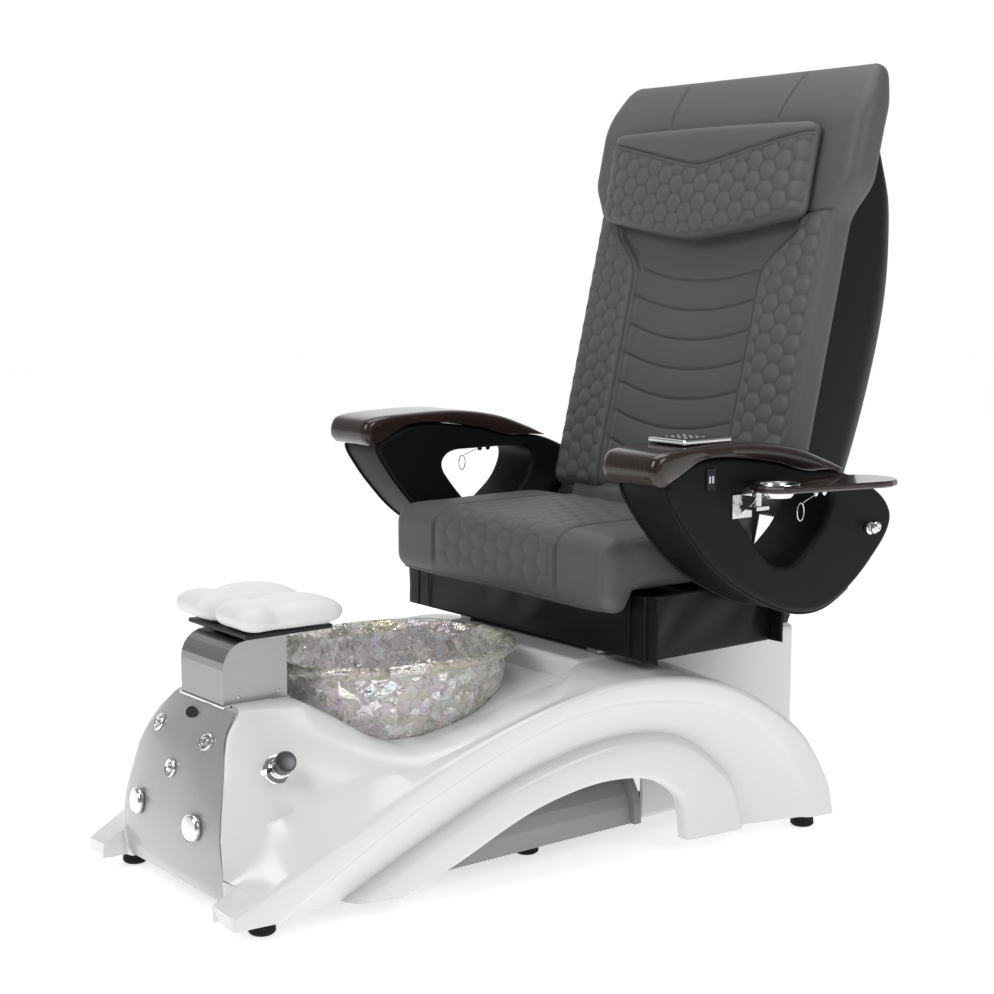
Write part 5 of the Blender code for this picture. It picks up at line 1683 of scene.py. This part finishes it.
def make_stage():
    scene = bpy.context.scene
    stage = scene.chair_stage
    half = stage.backdrop / 2
    floor = new_object("floor", [(-half, -half, 0), (half, -half, 0), (half, half, 0), (-half, half, 0)],
                       [(0, 1, 2, 3)])
    floor.data.materials.append(finish("floor"))
    a, e = stage.azimuth, stage.elevation
    back = Vector((math.sin(a) * math.cos(e), -math.cos(a) * math.cos(e), math.sin(e)))
    world = bpy.data.worlds.new("studio")
    world.use_nodes = True
    sky = Shading(world.node_tree, "Generated")
    facing = sky.vector("DOT_PRODUCT", sky.place, tuple(-back))
    seen = sky.node("ShaderNodeLightPath", out="Is Camera Ray")
    graded = sky.grey_ramp(facing, (0.08, 0.22), (0.50, 0.46), (0.84, 1.0))
    sky.feed(world.node_tree.nodes["Background"].inputs["Color"], sky.mix(seen, graded, (1.0, 1.0, 1.0)))
    scene.world = world
    soft_light("key", (0.4, -3.0, 2.9), (0, 0, 0.5), (1.6, 1.6), 42.0)
    soft_light("right_fill", (3.0, 0.6, 2.2), (0, 0, 0.5), (1.4, 1.4), 22.0)
    soft_light("top", (0.0, 0.2, 3.4), (0, 0, 0.5), (2.4, 2.4), 44.0)
    camera = bpy.data.cameras.new("camera")
    camera.lens, camera.sensor_width = stage.lens, 36.0
    holder = bpy.data.objects.new("camera", camera)
    holder.location = Vector((0.0, -0.030, 0.621)) + back * stage.distance
    holder.rotation_euler = (-back).to_track_quat("-Z", "Y").to_euler()
    scene.collection.objects.link(holder)
    scene.camera = holder
    scene.view_settings.view_transform = "Standard"


# ---------------------------------------------------------------- operators

class CHAIR_OT_stage(bpy.types.Operator):
    """Make the floor, the lights and the camera"""
    bl_idname = "chair.stage"
    bl_label = "Stage"

    def execute(self, context):
        make_stage()
        return {"FINISHED"}


class CHAIR_OT_frame(bpy.types.Operator):
    """Give the frame's own pieces their finishes"""
    bl_idname = "chair.frame"
    bl_label = "Frame finishes"

    def execute(self, context):
        dress_frame()
        return {"FINISHED"}


class CHAIR_OT_base(bpy.types.Operator):
    """Make the moulded base and its front panel"""
    bl_idname = "chair.base"
    bl_label = "Moulded base"

    def execute(self, context):
        make_moulding()
        make_front_panel()
        return {"FINISHED"}


class CHAIR_OT_bowl(bpy.types.Operator):
    """Make the rippled glass bowl"""
    bl_idname = "chair.bowl"
    bl_label = "Glass bowl"

    def execute(self, context):
        make_bowl()
        return {"FINISHED"}


class CHAIR_OT_upholstery(bpy.types.Operator):
    """Make the padded back, the head pillow, the seat and their stitches"""
    bl_idname = "chair.upholstery"
    bl_label = "Upholstery"

    def execute(self, context):
        pad = make_back_pad()
        make_back_tail()
        pillow = make_pillow()
        cushion = make_seat()
        make_stitches(pillow, cushion, pad)
        return {"FINISHED"}


class CHAIR_OT_skirt(bpy.types.Operator):
    """Make the vinyl skirt under the seat"""
    bl_idname = "chair.skirt"
    bl_label = "Skirt"

    def execute(self, context):
        make_skirt()
        return {"FINISHED"}


class CHAIR_OT_shell(bpy.types.Operator):
    """Make the shell behind the back"""
    bl_idname = "chair.shell"
    bl_label = "Back shell"

    def execute(self, context):
        make_back_shell()
        return {"FINISHED"}


class CHAIR_OT_footrest(bpy.types.Operator):
    """Make the two-lobed footrest cushion"""
    bl_idname = "chair.footrest"
    bl_label = "Footrest"

    def execute(self, context):
        make_footrest()
        return {"FINISHED"}


class CHAIR_OT_arms(bpy.types.Operator):
    """Make the upholstered arms, their wood caps and hardware"""
    bl_idname = "chair.arms"
    bl_label = "Arms"

    def execute(self, context):
        make_arms()
        make_arm_hardware()
        return {"FINISHED"}


class CHAIR_OT_controls(bpy.types.Operator):
    """Make the turned buttons, dials, valve and dishes"""
    bl_idname = "chair.controls"
    bl_label = "Controls"

    def execute(self, context):
        make_controls()
        return {"FINISHED"}


class CHAIR_OT_small_parts(bpy.types.Operator):
    """Make the screws, the dark bars of painted shade for the slots, and the key marks"""
    bl_idname = "chair.small_parts"
    bl_label = "Small parts"

    def execute(self, context):
        make_small_parts()
        return {"FINISHED"}


OPERATORS = (CHAIR_OT_frame, CHAIR_OT_base, CHAIR_OT_bowl, CHAIR_OT_upholstery, CHAIR_OT_skirt,
             CHAIR_OT_shell,
             CHAIR_OT_footrest, CHAIR_OT_arms, CHAIR_OT_controls, CHAIR_OT_small_parts, CHAIR_OT_stage)
GROUPS = (("chair_upholstery", ChairUpholstery), ("chair_base", ChairBase), ("chair_stage", ChairStage))


class CHAIR_PT_panel(bpy.types.Panel):
    """Lists the chair's settings and the operators that make its pieces"""
    bl_idname = "CHAIR_PT_panel"
    bl_label = "Spa Chair"
    bl_space_type = "VIEW_3D"
    bl_region_type = "UI"
    bl_category = "Spa Chair"

    def draw(self, context):
        for name, group in GROUPS:
            box = self.layout.box()
            values = getattr(context.scene, name)
            for key in group.__annotations__:
                box.prop(values, key)
        for operator in OPERATORS:
            self.layout.operator(operator.bl_idname)


def register():
    for _, group in GROUPS:
        bpy.utils.register_class(group)
    for name, group in GROUPS:
        setattr(bpy.types.Scene, name, PointerProperty(type=group))
    for item in (*OPERATORS, CHAIR_PT_panel):
        bpy.utils.register_class(item)


def unregister():
    for item in (CHAIR_PT_panel, *reversed(OPERATORS)):
        bpy.utils.unregister_class(item)
    for name, group in reversed(GROUPS):
        delattr(bpy.types.Scene, name)
        bpy.utils.unregister_class(group)


def main():
    register()
    for operator in OPERATORS:
        getattr(bpy.ops.chair, operator.bl_idname.split(".")[1])()


if __name__ == "__main__":
    main()
